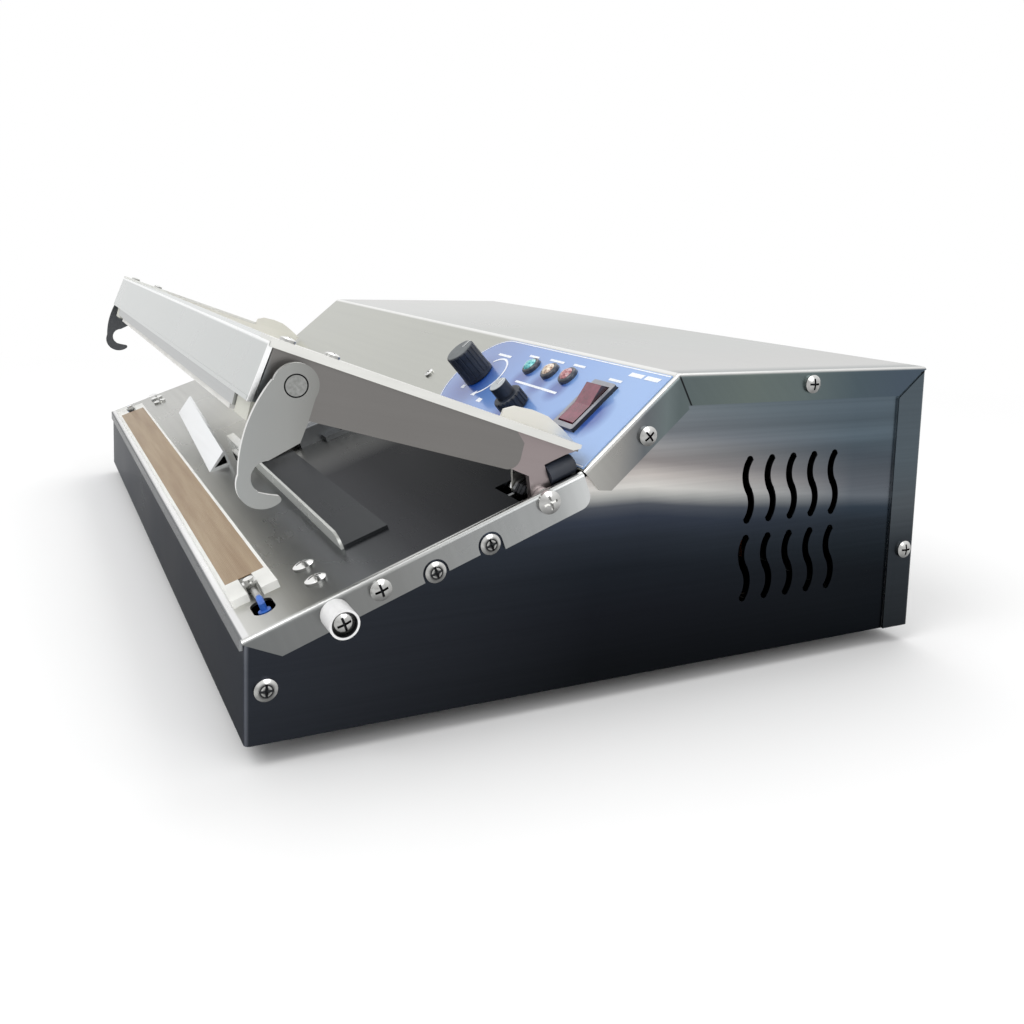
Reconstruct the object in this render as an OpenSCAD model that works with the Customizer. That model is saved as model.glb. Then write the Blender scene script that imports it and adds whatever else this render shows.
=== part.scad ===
// Table-top nozzle vacuum sealer: a folded stainless case with a sloping work plate, a
// sprung press arm with two swinging catch hooks, and a control slope with knobs and lamps.
// X runs to the operator's right, Y to the rear and Z up. The origin lies on the table,
// under the middle of the whole machine.

/* [Case] */
// Width over the side flanges of the covers
case_w = 500; // [460:5:560]
// Depth from the front wall to the rear cover
case_d = 305; // [295:1:330]
// Height of the roof above the bottom edge of the case
case_h = 123; // [119:1:130]
// Height of the front wall
front_h = 38; // [35:1:41]
// Depth of the work plate, seen from above
work_run = 126; // [123:1:130]
// Rise of the work plate from front to rear
work_rise = 48; // [45:1:51]
// Depth of the control slope, seen from above
slope_run = 42; // [39:1:46]
// Thickness of the case sheet
sheet_t = 1.2; // [1:0.1:1.5]
// Outer radius of the long bends
bend_r = 2; // [1.8:0.1:2.6]

/* [Flanges and seams] */
// Depth of the work plate's side flange at the front
work_flange = 11.2; // [10.5:0.1:12.5]
// Depth of the work plate's side flange behind the third screw
work_flange_rear = 13.7; // [13:0.1:15]
// Depth of the control slope's side flange
slope_flange = 14.5; // [13:0.1:17]
// Depth of the roof's side flange
roof_flange = 13; // [12:0.1:16]
// Length of the rear cover's side flange
rear_flange = 16.4; // [15:0.1:20]
// Width of the open seams between the covers
seam = 0.5; // [0.3:0.1:0.8]

/* [Feet] */
// Radius of a rubber foot
foot_r = 12; // [9:0.5:15]
// Height of a rubber foot
foot_h = 8; // [6:0.5:12]
// Distance of a foot's centre from the case walls
foot_inset = 34; // [24:1:45]

/* [Seal bar] */
// Gap between an end of the brown release tape and the side of the case
tape_side = 48; // [44:1:54]
// Width of the release tape
tape_w = 15; // [13:0.5:15.5]
// Gap between an end of the white insulating bar and the side of the case
bar_side = 30; // [27:1:33]
// Width of the insulating bar
bar_w = 17.4; // [17:0.1:18.5]
// Height of the insulating bar above the work plate
bar_h = 3; // [2.6:0.1:3.4]
// Distance from the front edge of the work plate to the bar
bar_front = 2; // [1.5:0.1:2.2]
// Width of the heating band
band_w = 8; // [5:0.5:10]

/* [Press arm] */
// Distance of the arm pivot from the front edge, along the work plate
pivot_y = 117.2; // [116:0.1:118.4]
// Depth of the arm pivot under the work plate's surface
pivot_drop = 4.3; // [4:0.1:4.6]
// Angle by which the arm stands open
open_a = 34; // [30:0.5:36]
// Height of the beam's front plate
beam_front_h = 20.8; // [19.5:0.1:22]
// Depth of the beam's top flange
beam_top = 30; // [26:0.5:32]
// Depth of the beam's bottom flange
beam_bottom = 18.5; // [17.6:0.1:19]
// Sheet of the beam and the arm channels
arm_t = 1.6; // [1.4:0.1:1.8]
// Fall of the arm's top edge towards the pivot
arm_taper_a = 6.8; // [6:0.1:7.4]
// Width of the silicone press strip
strip_w = 12; // [10:0.5:12.5]

/* [Latch] */
// Radius of the cross shaft that carries both hooks
shaft_r = 4; // [3.5:0.1:4.5]
// Thickness of a hook plate
hook_t = 2.2; // [1.8:0.1:2.6]
// Radius of a white catch bush
catch_r = 5.25; // [5:0.05:5.6]
// Length of a catch bush outside the case
catch_len = 12; // [9:0.5:14]
// Distance of a catch bush from the front edge, along the work plate
catch_y = 29.9; // [29.2:0.1:30.6]

/* [Bag stops and nozzle] */
// Length of the triangular stop on the left
left_stop_len = 180; // [150:5:200]
// Angle at which the left stop is set
left_stop_a = 3; // [0:0.5:4]
// Gap between the angled stop on the right and the side of the case
right_stop_gap = 37; // [30:1:48]
// Height of the right stop's upright flange
right_stop_h = 6.4; // [5:0.2:8]
// Distance of the nozzle from the middle of the machine
nozzle_x = 43; // [42:0.5:44]
// Width of the flat nozzle tube
nozzle_w = 22; // [18:0.5:23]
// Height of the flat nozzle tube
nozzle_h = 6.4; // [5.4:0.1:6.8]
// Travel of the nozzle towards the front
nozzle_travel = 18; // [12:1:19]

/* [Controls] */
// Radius of the large black knob
knob_r = 8.2; // [7:0.05:9]
// Height of the large knob
knob_h = 17; // [14:0.5:19]
// Radius of the small knob's skirt
small_knob_r = 7.25; // [6.5:0.05:8]
// Height of the small knob
small_knob_h = 14; // [12:0.5:16]
// Radius of a pilot lamp's bezel
lamp_r = 5; // [4.5:0.1:6]
// Width of the rocker switch's frame
switch_w = 18.4; // [17:0.2:20]
// Length of the rocker switch's frame
switch_len = 27.4; // [25:0.2:29]
// Tilt of the rocker to either side
rock_a = 8; // [6:0.5:9]

/* [Hidden] */

// Smoothness of round forms
$fn = 48;
// Overrun of every cut
over = 1;
// Gap of a seated face that must not overlap, and radial gap of a running fit
seat = 0.3;
run = 0.05;
snug = 0.02;
// Gap around a screw in its hole
hole_gap = 0.15;

// Case lines
half_w = case_w / 2;
wall_x = half_w - sheet_t;
in_x = wall_x - sheet_t;
work_a = atan2(work_rise, work_run);
work_len = norm([work_run, work_rise]);
slope_rise = case_h - front_h - work_rise;
slope_a = atan2(slope_rise, slope_run);
slope_len = norm([slope_run, slope_rise]);
roof_y = work_run + slope_run;
roof_len = case_d - roof_y;
fold_a = slope_a / 2;
tub_len = case_d - bend_r - seat;
// Room left between the tub's edges and the covers above them
tub_top_gap = 1.5;
lip_h = 5;
// Front corner of the work flange, cut off at a slant
flange_cut = 8.8;
flange_corner_r = 5;
flange_notch_r = 4.9;
slope_chamfer = 4;
mitre_run = 3.2;
mitre_drop = 2.4;
rear_y = case_d - rear_flange;
fold_seam = 0.9;
foot_taper_share = 0.86;
foot_well_share = 0.5;

// Screws with a pan head
m4_r = 2;
m4_head_r = 4;
m4_head_h = 2.4;
m3_r = 1.5;
m3_head_r = 2.75;
m3_head_h = 1.8;
shank = 7;
short_shank = 3.6;
cross_share = 0.62;
cross_w_share = 0.22;
dome_share = 0.55;

// Middle of the whole machine behind the front wall, with the arm open: the hooks reach
// in front of it, the inlet and its screws behind it
hook_reach = 3.588;
inlet_proud = 2.4;
mid_y = (case_d + inlet_proud + m3_head_h - hook_reach) / 2;

// Places of the side screws, in the plane of the work plate and of the control slope
through_screw = [47.1, -5.3];
notch_screws = [[67.7, -9.3], [90.4, -9.3]];
slope_screw = [29.3, -8.8];
front_screw = [6.8, 19.5];
roof_screw_back = 68.4;
roof_screw = [case_d - roof_screw_back, 5.9];
rear_screw_rise = 37.5;
rear_screw_in = 6.9;
plate_screw_y = 30.5;
plate_screw_in = [19.6, 37.4];
panel_screw_in = [208.2, 18.8];
slope_panel_screw = [half_w - panel_screw_in[0], panel_screw_in[1]];

// Side vents: two rows of S-shaped slots
vent_back = 98.5;
vent_y = case_d - vent_back;
vent_pitch = 11.7;
vent_count = 5;
vent_rows = [38.3, 72.5];
vent_len = 26;
vent_wide = 3.4;
vent_bow = 1.9;

// Seal bar and its ends
bar_len = case_w - 2 * bar_side;
tape_len = case_w - 2 * tape_side;
bar_mid_y = bar_front + bar_w / 2;
tape_t = 0.25;
band_t = 0.2;
tape_seat = tape_t + band_t;
bar_slot_w = 5.2;
bar_slot_len = (bar_len - tape_len) / 2 + seat;
lead_hole_in = 20.3;
lead_hole_x = half_w - lead_hole_in;
lead_hole_y = 10.6;
lead_hole_len = 14;
lead_hole_w = 8;
term_in = 7.5;
term_x = bar_len / 2 - term_in;
term_r = 1.9;
term_h = 2.6;
band_turns = 5;
band_coil_r = 1.05;
band_wire_r = 0.32;
lead_r = 1.2;
crimp_r = 2.3;
crimp_len = 12;

// Pivot of the press arm, seen in the plane of the work plate
bolt_r = 3;
bolt_head_r = 4.6;
bolt_head_h = 2.8;
nut_h = 3;
nut_r = 5.6;
arm_gap = 1;
arm_out = in_x - arm_gap;
web_x = arm_out - arm_t;
lug_t = 3;
lug_x = web_x - lug_t;
lug_rear = 5;
lug_start = -46;
lug_neck = [-8, 7.6];
lug_inset = 0.8;
cheek_t = 1.6;
cheek_in = 13.6;
cheek_x = lug_x - cheek_in;
slot_front = 10;
slot_in = 4.2;
bracket_t = 2;
bracket_gap = 0.6;
bracket_x = cheek_x + cheek_t + bracket_gap;
bracket_drop = 26;
bracket_ear_r = 6;
tab_h = 4.4;
tab_half = 2.9;
buffer_r = 4.1;
buffer_x = in_x - seat - buffer_r;
buffer_len = 8.6;
buffer_end = 1.2;
buffer_round = 1.2;
buffer_rise = 3;
buffer_gap = 0.3;
buffer_y = lug_rear + buffer_gap;
spacer_r = 4.6;
washer_gap = 0.2;
spring_coil_r = 6.4;
spring_wire_r = 0.8;
spring_turns = 3;
spring_steps = 12;
spring_sides = 6;

// Press arm, seen in its own plane with the pivot at the origin
beam_foot = [-116.6, 16];
beam_lean_a = 7.2;
beam_head = beam_foot + beam_front_h * [sin(beam_lean_a), cos(beam_lean_a)];
strap_t = 1.5;
arm_tail = 9.4;
web_low_y = -97.8;
web_low = [13.3, 8.9];
web_low_end_y = -19;
web_end_y = -14;
web_end_r = 5;
beam_lip = 6;
strap_hem = 3.1;
gusset_in = 120;
gusset_x = half_w - gusset_in;
arm_screw_in = 11;
arm_screw_x = half_w - arm_screw_in;
cheek_boss_r = 5.6;
cheek_rear = [17, 6.2];
cheek_tip = [26.2, 9.4];
hump = [[-17.4, 29.6], [-13, 31.6], [-5, 31.6], [2, 30.4], [9, 27]];
arm_screw_y = [-106.5, -90.5];
holder_h = 5.4;
holder_t = 1.5;
holder_w = 16;
holder_in = 34;
holder_x = half_w - holder_in;
press_gap = 0.35;
press_y = bar_mid_y - pivot_y;
press_low = bar_h + press_gap + pivot_drop;
end_block_in = 11;
end_block_x = half_w - end_block_in;
end_block_len = 22;
end_block_w = 14;
end_block_h = 7.4;
bush_wall = 2;
bush_lip = 0.4;
bush_flange = 3;

// Latch: the cross shaft and the hooks, each hook in its own plane with the shaft at the origin
pin_at = [-104, 24.6];
pin_closed = [pivot_y + pin_at[0], pin_at[1] - pivot_drop];
catch_at = [catch_y, -5.9];
catch_way = catch_at - pin_closed;
hook_len = norm(catch_way);
hook_rest_a = -3.65;
hook_x = half_w + 1.9;
hook_head_r = 7.6;
throat_gap = 0.2;
throat_r = catch_r + throat_gap;
back_r = 50;
back_y = -11.4;
back_z_share = 0.59;
jaw_r = 8.6;
jaw_y = -0.8;
jaw_drop = 2.2;
tip_r = 1.3;
hook_side = 7.3;
hook_side_share = 0.34;
hook_chin = [6.8, -17.8];
mouth_y = -1.6;
mouth_z = -25.9;
groove = 0.45;
groove_depth = 0.8;
collar_r = 6;

// Stops, nozzle and its guide on the work plate
stop_t = 1.2;
left_stop_end_x = 28.6;
left_stop_y = 26;
left_stop_base = 11.2;
left_stop_h = 7.7;
stop_front_share = 2.6;
stop_top_share = 1.6;
right_stop_x = 57;
right_stop_len = half_w - right_stop_gap - right_stop_x;
right_stop_y = 45.4;
right_stop_deep = 19.6;
right_stop_round = 5;
right_stop_hole = [43, 3.2, 1.7];
nozzle_y = 40;
nozzle_t = 0.8;
nozzle_rise = 1.2;
guide_y = 70;
nozzle_hold = 12;
nozzle_len = guide_y + nozzle_hold + nozzle_travel - nozzle_y;
guide_len = 48;
guide_wall = 3;
guide_ear = 7;
guide_ear_h = 2.4;
barb_y = 108;
barb_r = 3;
barb_len = 14;
hose_r = 4.6;
hose_bend = 14;
hose_level = 56;
hose_steps = 24;
nozzle_gap = 0.3;
nozzle_round = 2;
saddle_x = 31;
saddle_y = 42.5;
saddle_w = 50;
saddle_h = 10.2;
saddle_deep = 4;
saddle_round = 3.4;

// Controls on the slope
overlay_t = 0.4;
overlay_edge = 1;
overlay_side = 2.5;
knob_in = [151.8, 27.4];
knob_at = [half_w - knob_in[0], knob_in[1]];
small_knob_in = [90, 17];
small_knob_at = [half_w - small_knob_in[0], small_knob_in[1]];
knob_lift = 0.6;
knob_flutes = 18;
flute_r = 0.5;
knob_top_share = 0.9;
knob_cap_h = 1.2;
pointer_w = 1.6;
small_top_share = 0.62;
small_step_share = 0.5;
pot_r = 8;
pot_h = 9;
pot_bush_r = 3.5;
pot_bush_h = 5;
pot_nut_r = 5.2;
pot_nut_h = 1.6;
pot_shaft_r = 3;
pot_shaft_deep = 8;
lamp_in = [110.1, 90.4, 72.3];
lamp_row = 40.5;
lamp_at = [for (x = lamp_in) [half_w - x, lamp_row]];
lamp_bezel_h = 2.6;
lens_r_share = 0.72;
lens_h = 4.2;
lamp_body_share = 0.78;
lamp_body_h = 18;
switch_in = [38.4, 28.2];
switch_at = [half_w - switch_in[0], switch_in[1]];
switch_rim = 2.4;
switch_frame_h = 2.2;
switch_body_h = 19;
switch_body_in = 1.2;
rocker_gap = 0.35;
rocker_drop = 1;
rocker_root = 3;
rocker_well = 11;
switch_inner = [switch_w - 2 * switch_rim, switch_len - 2 * switch_rim];
trunnion_r = 1.2;
trunnion_len = 0.9;

// Things inside the case and the inlet at the rear
inlet_in = [100, 62];
inlet_at = [half_w - inlet_in[0], inlet_in[1]];
inlet_flange = [50, 28];
inlet_body = [28, 20];
inlet_deep = 24;
inlet_well = [24, 16.4];
inlet_well_deep = 20;
inlet_corner = 5;
inlet_screw_x = 20;
pin_size = [2, 4, 14];
pin_pitch = 7;
core_size = [66, 46, 56];
core_in = [100, 73];
core_at = [half_w - core_in[0], case_d - core_in[1]];
core_foot_t = 2;
core_foot_len = 9;
winding_wide = 10;
pump_size = [46, 54, 66];
pump_in = [-66, 79];
pump_at = [pump_in[0], case_d - pump_in[1]];
motor_r = 26;
motor_len = 74;
pump_port_r = 3.4;
pump_port_len = 9;
valve_size = [22, 22, 30];
valve_in = [20, 43];
valve_at = [valve_in[0], case_d - valve_in[1]];
valve_base_h = 12;
board_size = [118, 66, 1.6];
board_in = [20, 137];
board_at = [board_in[0], case_d - board_in[1]];
board_rise = 9;
standoff_r = 3;
relay_size = [19, 15.5, 15];
relay_pitch = 24;
chip_size = [24, 8, 3.4];
cap_r = 5;
cap_h = 17;

function work_point(x, y, z) = [x, y * cos(work_a) - z * sin(work_a), front_h + y * sin(work_a)
    + z * cos(work_a)];
function top_line(y) = beam_head[1] - tan(arm_taper_a) * (y - beam_head[0]);
function low_line(y) = web_low[0] + (web_low[1] - web_low[0]) * (y - web_low_y) / (web_low_end_y - web_low_y);

// Frames: the case, the plane of the work plate, of the control slope, and of the open arm
module in_case() {
    translate([0, -mid_y, foot_h]) children();
}
module on_work() {
    in_case() translate([0, 0, front_h]) rotate([work_a, 0, 0]) children();
}
module on_slope() {
    in_case() translate([0, work_run, front_h + work_rise]) rotate([slope_a, 0, 0]) children();
}
module at_pivot() {
    on_work() translate([0, pivot_y, -pivot_drop]) children();
}
module on_arm() {
    at_pivot() rotate([-open_a, 0, 0]) children();
}
module on_hook() {
    on_arm() translate([0, pin_at[0], pin_at[1]]) rotate([hook_rest_a, 0, 0]) children();
}
module both_sides() {
    children();
    mirror([1, 0, 0]) children();
}

// A plate standing across X, drawn in Y and Z, and a bar that runs along Y, drawn in X and Z
module plate_x(x, thick) {
    translate([x, 0, 0]) rotate([90, 0, 90]) linear_extrude(thick) children();
}
module along_y(len) {
    translate([0, len, 0]) rotate([90, 0, 0]) linear_extrude(len) children();
}
module rod_x(x, len, r) {
    translate([x, 0, 0]) rotate([0, 90, 0]) cylinder(r = r, h = len);
}

// Folded sheet seen end on: its top at zero, both top corners rounded
module rounded_top(w, h, r) {
    translate([-w / 2, -h]) square([w, h - r]);
    translate([-w / 2 + r, -h]) square([w - 2 * r, h]);
    for (side = [-1, 1]) translate([side * (w / 2 - r), -r]) circle(r = r);
}
module channel(w, leg, t, r) {
    difference() {
        rounded_top(w, leg, r);
        translate([0, -t]) rounded_top(w - 2 * t, leg, r - t);
    }
}
module stadium(len, w) {
    square([len - w, w], center = true);
    for (side = [-1, 1]) translate([side * (len - w) / 2, 0]) circle(r = w / 2);
}
module rounded_square(size, r) {
    square([size[0] - 2 * r, size[1]], center = true);
    square([size[0], size[1] - 2 * r], center = true);
    for (sx = [-1, 1]) for (sy = [-1, 1])
        translate([sx * (size[0] / 2 - r), sy * (size[1] / 2 - r)]) circle(r = r);
}

// A pan head screw on the plane z = 0 with a cross recess, its shank below
module screw(r, head_r, head_h, len) {
    translate([0, 0, -len]) cylinder(r = r, h = len);
    difference() {
        rotate_extrude() intersection() {
            square([head_r, head_h]);
            translate([0, head_h - head_r / dome_share]) circle(r = head_r / dome_share);
        }
        for (turn = [0, 90]) rotate([0, 0, turn])
            translate([-head_r * cross_share, -head_r * cross_w_share / 2, head_h / 2])
                cube([2 * head_r * cross_share, head_r * cross_w_share, head_h]);
    }
}
module m4_screw(len) {
    screw(m4_r, m4_head_r, m4_head_h, len);
}
module m3_screw(len) {
    screw(m3_r, m3_head_r, m3_head_h, len);
}
module facing_out(x) {
    translate([x, 0, 0]) rotate([0, 90, 0]) children();
}

// Places of the side screws that pass through a cover, and of those on the bare tub
module at_cover_screws() {
    on_work() translate([0, through_screw[0], through_screw[1]]) children();
    on_slope() translate([0, slope_screw[0], slope_screw[1]]) children();
    in_case() translate([0, roof_screw[0], case_h - roof_screw[1]]) children();
    in_case() translate([0, case_d - rear_screw_in, rear_screw_rise]) children();
}
module at_tub_screws() {
    for (p = notch_screws) on_work() translate([0, p[0], p[1]]) children();
    in_case() translate([0, front_screw[0], front_screw[1]]) children();
}
module side_hole(r) {
    rod_x(in_x - over, half_w - in_x + 2 * over, r);
}
module side_holes() {
    both_sides() {
        at_cover_screws() side_hole(m4_r + hole_gap);
        at_tub_screws() side_hole(m4_r + hole_gap);
        on_work() translate([0, catch_at[0], catch_at[1]]) side_hole(m4_r + hole_gap);
        at_pivot() side_hole(bolt_r + hole_gap);
    }
}

// Outline of the case from the side, its top lines set in by d
function case_outline(d) = [
    [0, 0],
    [0, front_h - d / cos(work_a)],
    [work_run, front_h + work_rise] + d * [sin((work_a + slope_a) / 2), -cos((work_a + slope_a) / 2)]
        / cos((slope_a - work_a) / 2),
    [roof_y, case_h] + d * [sin(fold_a), -cos(fold_a)] / cos(fold_a),
    [case_d, case_h - d],
    [case_d, 0]];

// One S-shaped slot: two short arcs bowed to opposite sides, with round ends
module s_slot() {
    half = vent_len / 2;
    r = (half * half / 4 + vent_bow * vent_bow) / (2 * vent_bow);
    for (side = [-1, 1])
        intersection() {
            translate([side * (r - vent_bow), side * half / 2]) difference() {
                circle(r = r + vent_wide / 2, $fn = 96);
                circle(r = r - vent_wide / 2, $fn = 96);
            }
            translate([-half, side > 0 ? 0 : -half]) square([vent_len, half]);
        }
    for (side = [-1, 1]) translate([0, side * half]) circle(r = vent_wide / 2);
    circle(r = vent_wide / 2);
}

// The tub: bottom, front and sides folded from one sheet, its front corners rounded
module base_tub() {
    color("dimgray") difference() {
        in_case() {
            intersection() {
                linear_extrude(case_h) mirror([0, 1]) channel(2 * wall_x, tub_len, sheet_t, bend_r);
                plate_x(-case_w, 2 * case_w) polygon(case_outline(sheet_t + tub_top_gap));
            }
            linear_extrude(sheet_t) mirror([0, 1]) rounded_top(2 * wall_x, tub_len, bend_r);
        }
        side_holes();
        in_case() for (side = [-1, 1]) for (i = [0 : vent_count - 1]) for (z = vent_rows)
            translate([0, vent_y + i * vent_pitch, z])
                plate_x(side > 0 ? in_x - over : -wall_x - over, sheet_t + 2 * over) s_slot();
        at_feet() translate([0, 0, -over]) cylinder(r = m4_r + hole_gap, h = sheet_t + 2 * over);
    }
}

// The work plate: the sloping top, its two side flanges and a short lip over the front wall
module work_side() {
    front = -sheet_t / cos(work_a);
    rear = work_len - seam / 2;
    difference() {
        union() {
            polygon([[front, over], [front, -sheet_t], [flange_cut, -work_flange],
                [notch_screws[1][0], -work_flange], [notch_screws[1][0], -work_flange_rear],
                [rear - flange_corner_r, -work_flange_rear], [rear, flange_corner_r - work_flange_rear],
                [rear, over]]);
            translate([rear - flange_corner_r, flange_corner_r - work_flange_rear])
                circle(r = flange_corner_r);
        }
        for (p = notch_screws) translate(p) {
            circle(r = flange_notch_r);
            translate([-flange_notch_r, -work_flange]) square([2 * flange_notch_r, work_flange]);
        }
    }
}
module work_plate() {
    front = -sheet_t / cos(work_a);
    color("silver") difference() {
        union() {
            on_work() intersection() {
                translate([0, front, 0]) along_y(work_len - seam / 2 - front)
                    channel(case_w, 2 * work_flange, sheet_t, bend_r);
                plate_x(-case_w, 2 * case_w) work_side();
            }
            in_case() translate([-half_w + 2 * bend_r, -sheet_t, front_h - lip_h])
                cube([case_w - 4 * bend_r, sheet_t, lip_h - sheet_t / 2]);
        }
        side_holes();
        both_sides() on_work() {
            translate([cheek_x - slot_in, pivot_y - slot_front, -work_flange_rear])
                cube([in_x - cheek_x + slot_in, work_len, 2 * work_flange_rear]);
            translate([lead_hole_x, lead_hole_y, -sheet_t - over])
                linear_extrude(sheet_t + 2 * over) stadium(lead_hole_len, lead_hole_w);
            for (x = plate_screw_in) translate([half_w - x, plate_screw_y, -sheet_t - over])
                cylinder(r = m4_r + hole_gap, h = sheet_t + 2 * over);
        }
        on_work() {
            translate([nozzle_x, barb_y, -sheet_t - over])
                cylinder(r = barb_r + seat, h = sheet_t + 2 * over);
            at_guide_screws() translate([0, 0, -sheet_t - over])
                cylinder(r = m3_r + hole_gap, h = sheet_t + 2 * over);
        }
    }
}

// The control cover: slope and roof from one sheet, the side flanges mitred at the fold
module slope_side() {
    reach = slope_len + slope_flange;
    polygon([[seam / 2, over], [seam / 2, slope_chamfer - slope_flange], [slope_chamfer, -slope_flange],
        [reach, -slope_flange], [reach, over]]);
}
module roof_side() {
    polygon([[-roof_flange, over], [-roof_flange, -roof_flange], [rear_y - roof_y, -roof_flange],
        [roof_len - mitre_run, -mitre_drop], [roof_len, -sheet_t], [roof_len, over]]);
}
module before_fold(side) {
    translate([0, roof_y, case_h]) rotate([-90 + fold_a, 0, 0])
        translate([-case_w, -case_w, side > 0 ? 0 : -case_w]) cube([2 * case_w, 2 * case_w, case_w]);
}
module control_cover() {
    color("lightgray") difference() {
        union() {
            intersection() {
                on_slope() intersection() {
                    along_y(slope_len + slope_flange) channel(case_w, 2 * slope_flange, sheet_t, bend_r);
                    plate_x(-case_w, 2 * case_w) slope_side();
                }
                in_case() before_fold(-1);
            }
            intersection() {
                in_case() translate([0, roof_y, case_h]) intersection() {
                    translate([0, -roof_flange, 0]) along_y(roof_len + roof_flange)
                        channel(case_w, 2 * roof_flange, sheet_t, bend_r);
                    plate_x(-case_w, 2 * case_w) roof_side();
                }
                in_case() before_fold(1);
            }
        }
        side_holes();
        both_sides() in_case() translate([wall_x - over, roof_y, case_h]) rotate([fold_a, 0, 0])
            translate([0, -fold_seam / 2, -2 * slope_flange])
                cube([sheet_t + 2 * over, fold_seam, 2 * slope_flange - bend_r]);
        on_slope() {
            for (p = [knob_at, small_knob_at]) translate([p[0], p[1], -sheet_t - over])
                cylinder(r = pot_bush_r + hole_gap, h = sheet_t + 2 * over);
            for (p = lamp_at) translate([p[0], p[1], -sheet_t - over])
                cylinder(r = lamp_r * lamp_body_share + hole_gap, h = sheet_t + 2 * over);
            translate([switch_at[0], switch_at[1], 0])
                cube([switch_w - 2 * switch_body_in + 2 * hole_gap, switch_len - 2 * switch_body_in
                    + 2 * hole_gap,
                    2 * sheet_t + 2 * over], center = true);
            translate([slope_panel_screw[0], slope_panel_screw[1], -sheet_t - over])
                cylinder(r = m3_r + hole_gap, h = sheet_t + 2 * over);
        }
    }
}

// The rear cover: a flat back with two side flanges, mitred under the roof, and the inlet's hole
module rear_cover() {
    tall = case_h - sheet_t - seat;
    color("gray") difference() {
        in_case() intersection() {
            linear_extrude(tall) translate([0, case_d]) channel(case_w, rear_flange, sheet_t, bend_r);
            plate_x(-case_w, 2 * case_w)
                polygon([[rear_y + seam, 0], [case_d, 0], [case_d, tall],
                    [case_d - mitre_run + seam, case_h - mitre_drop - 2 * seam],
                    [rear_y + seam, case_h - roof_flange - 2 * seam]]);
        }
        side_holes();
        in_case() translate([inlet_at[0], case_d + over, inlet_at[1]]) rotate([90, 0, 0])
            linear_extrude(sheet_t + 2 * over) {
                rounded_square([inlet_body[0] + 2 * hole_gap, inlet_body[1] + 2 * hole_gap], inlet_corner);
                for (side = [-1, 1]) translate([side * inlet_screw_x, 0]) circle(r = m3_r + hole_gap);
            }
    }
}

// Printed plastic overlay on the control slope, round at its left end
module control_overlay() {
    deep = slope_len - 3 * overlay_edge;
    r = deep / 2;
    mid = overlay_edge + r;
    color("cornflowerblue") on_slope() linear_extrude(overlay_t) difference() {
        union() {
            translate([knob_at[0], overlay_edge]) square([half_w - overlay_side - knob_at[0], deep]);
            translate([knob_at[0], mid]) circle(r = r, $fn = 96);
        }
        for (p = [knob_at, small_knob_at]) translate(p) circle(r = pot_nut_r + hole_gap);
        for (p = lamp_at) translate(p) circle(r = lamp_r + hole_gap);
        translate(switch_at) square([switch_w + 2 * hole_gap, switch_len + 2 * hole_gap], center = true);
    }
}

// Rubber feet, screwed through the bottom from below
module at_feet() {
    in_case() for (x = [-1, 1]) for (y = [foot_inset, tub_len - foot_inset])
        translate([x * (wall_x - foot_inset), y, 0]) children();
}
module rubber_feet() {
    well = foot_h * foot_well_share;
    color("black") at_feet() rotate_extrude() difference() {
        polygon([[0, 0], [foot_r, 0], [foot_r * foot_taper_share, -foot_h], [0, -foot_h]]);
        translate([0, -foot_h]) square([m4_head_r + seat, well]);
        square([2 * (m4_r + hole_gap), 2 * foot_h], center = true);
    }
}

// All M4 pan head screws of the case: through the flanges, on the bare tub, and in the feet
module case_screws() {
    color("silver") {
        both_sides() {
            at_cover_screws() facing_out(half_w) m4_screw(shank);
            at_tub_screws() facing_out(wall_x) m4_screw(shank);
        }
        at_feet() translate([0, 0, -foot_h * (1 - foot_well_share)]) mirror([0, 0, 1])
            m4_screw(shank + short_shank);
    }
}

// Round head screws through the work plate, two near each end of the seal bar
module plate_screws() {
    color("silver") both_sides() on_work() for (x = plate_screw_in)
        translate([half_w - x, plate_screw_y, 0]) m4_screw(shank);
}

// M3 screws of the nozzle guide, the power inlet and the board behind the control slope
module at_guide_screws() {
    for (side = [-1, 1])
        translate([nozzle_x + side * (nozzle_w / 2 + guide_wall + guide_ear / 2), guide_y + guide_len / 2,
            0]) children();
}
module small_screws() {
    color("silver") {
        on_work() at_guide_screws() translate([0, 0, guide_ear_h]) m3_screw(shank);
        in_case() for (side = [-1, 1])
            translate([inlet_at[0] + side * inlet_screw_x, case_d + inlet_proud, inlet_at[1]])
                rotate([-90, 0, 0]) m3_screw(shank);
        on_slope() translate(slope_panel_screw) m3_screw(shank);
    }
}

// White insulating bar with a fork at each end for the band's terminal
module seal_bar() {
    color("white") on_work() difference() {
        translate([-bar_len / 2, bar_front, 0]) cube([bar_len, bar_w, bar_h]);
        translate([-tape_len / 2, bar_mid_y - tape_w / 2, bar_h - tape_seat]) cube([tape_len, tape_w, bar_h]);
        both_sides() translate([bar_len / 2 - bar_slot_len, bar_mid_y - bar_slot_w / 2, -over])
            cube([bar_slot_len + over, bar_slot_w, bar_h + 2 * over]);
    }
}
module heating_band() {
    color("darkgray") on_work() translate([-tape_len / 2, bar_mid_y - band_w / 2, bar_h - tape_seat])
        cube([tape_len, band_w, band_t]);
}
module seal_tape() {
    color("tan") on_work() difference() {
        translate([-tape_len / 2, bar_mid_y - tape_w / 2, bar_h - tape_seat])
            cube([tape_len, tape_w, tape_seat]);
        translate([-tape_len / 2 - over, bar_mid_y - band_w / 2, bar_h - tape_seat - over])
            cube([tape_len + 2 * over, band_w, band_t + over]);
    }
}
// Terminal posts in the forks of the bar, each a post with a nut
module band_terminals() {
    color("silver") both_sides() on_work() translate([term_x, bar_mid_y, 0]) {
        cylinder(r = term_r, h = bar_h + term_h);
        translate([0, 0, bar_h]) cylinder(r = bar_slot_w / 2 + seat, h = term_h / 2, $fn = 6);
    }
}
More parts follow.
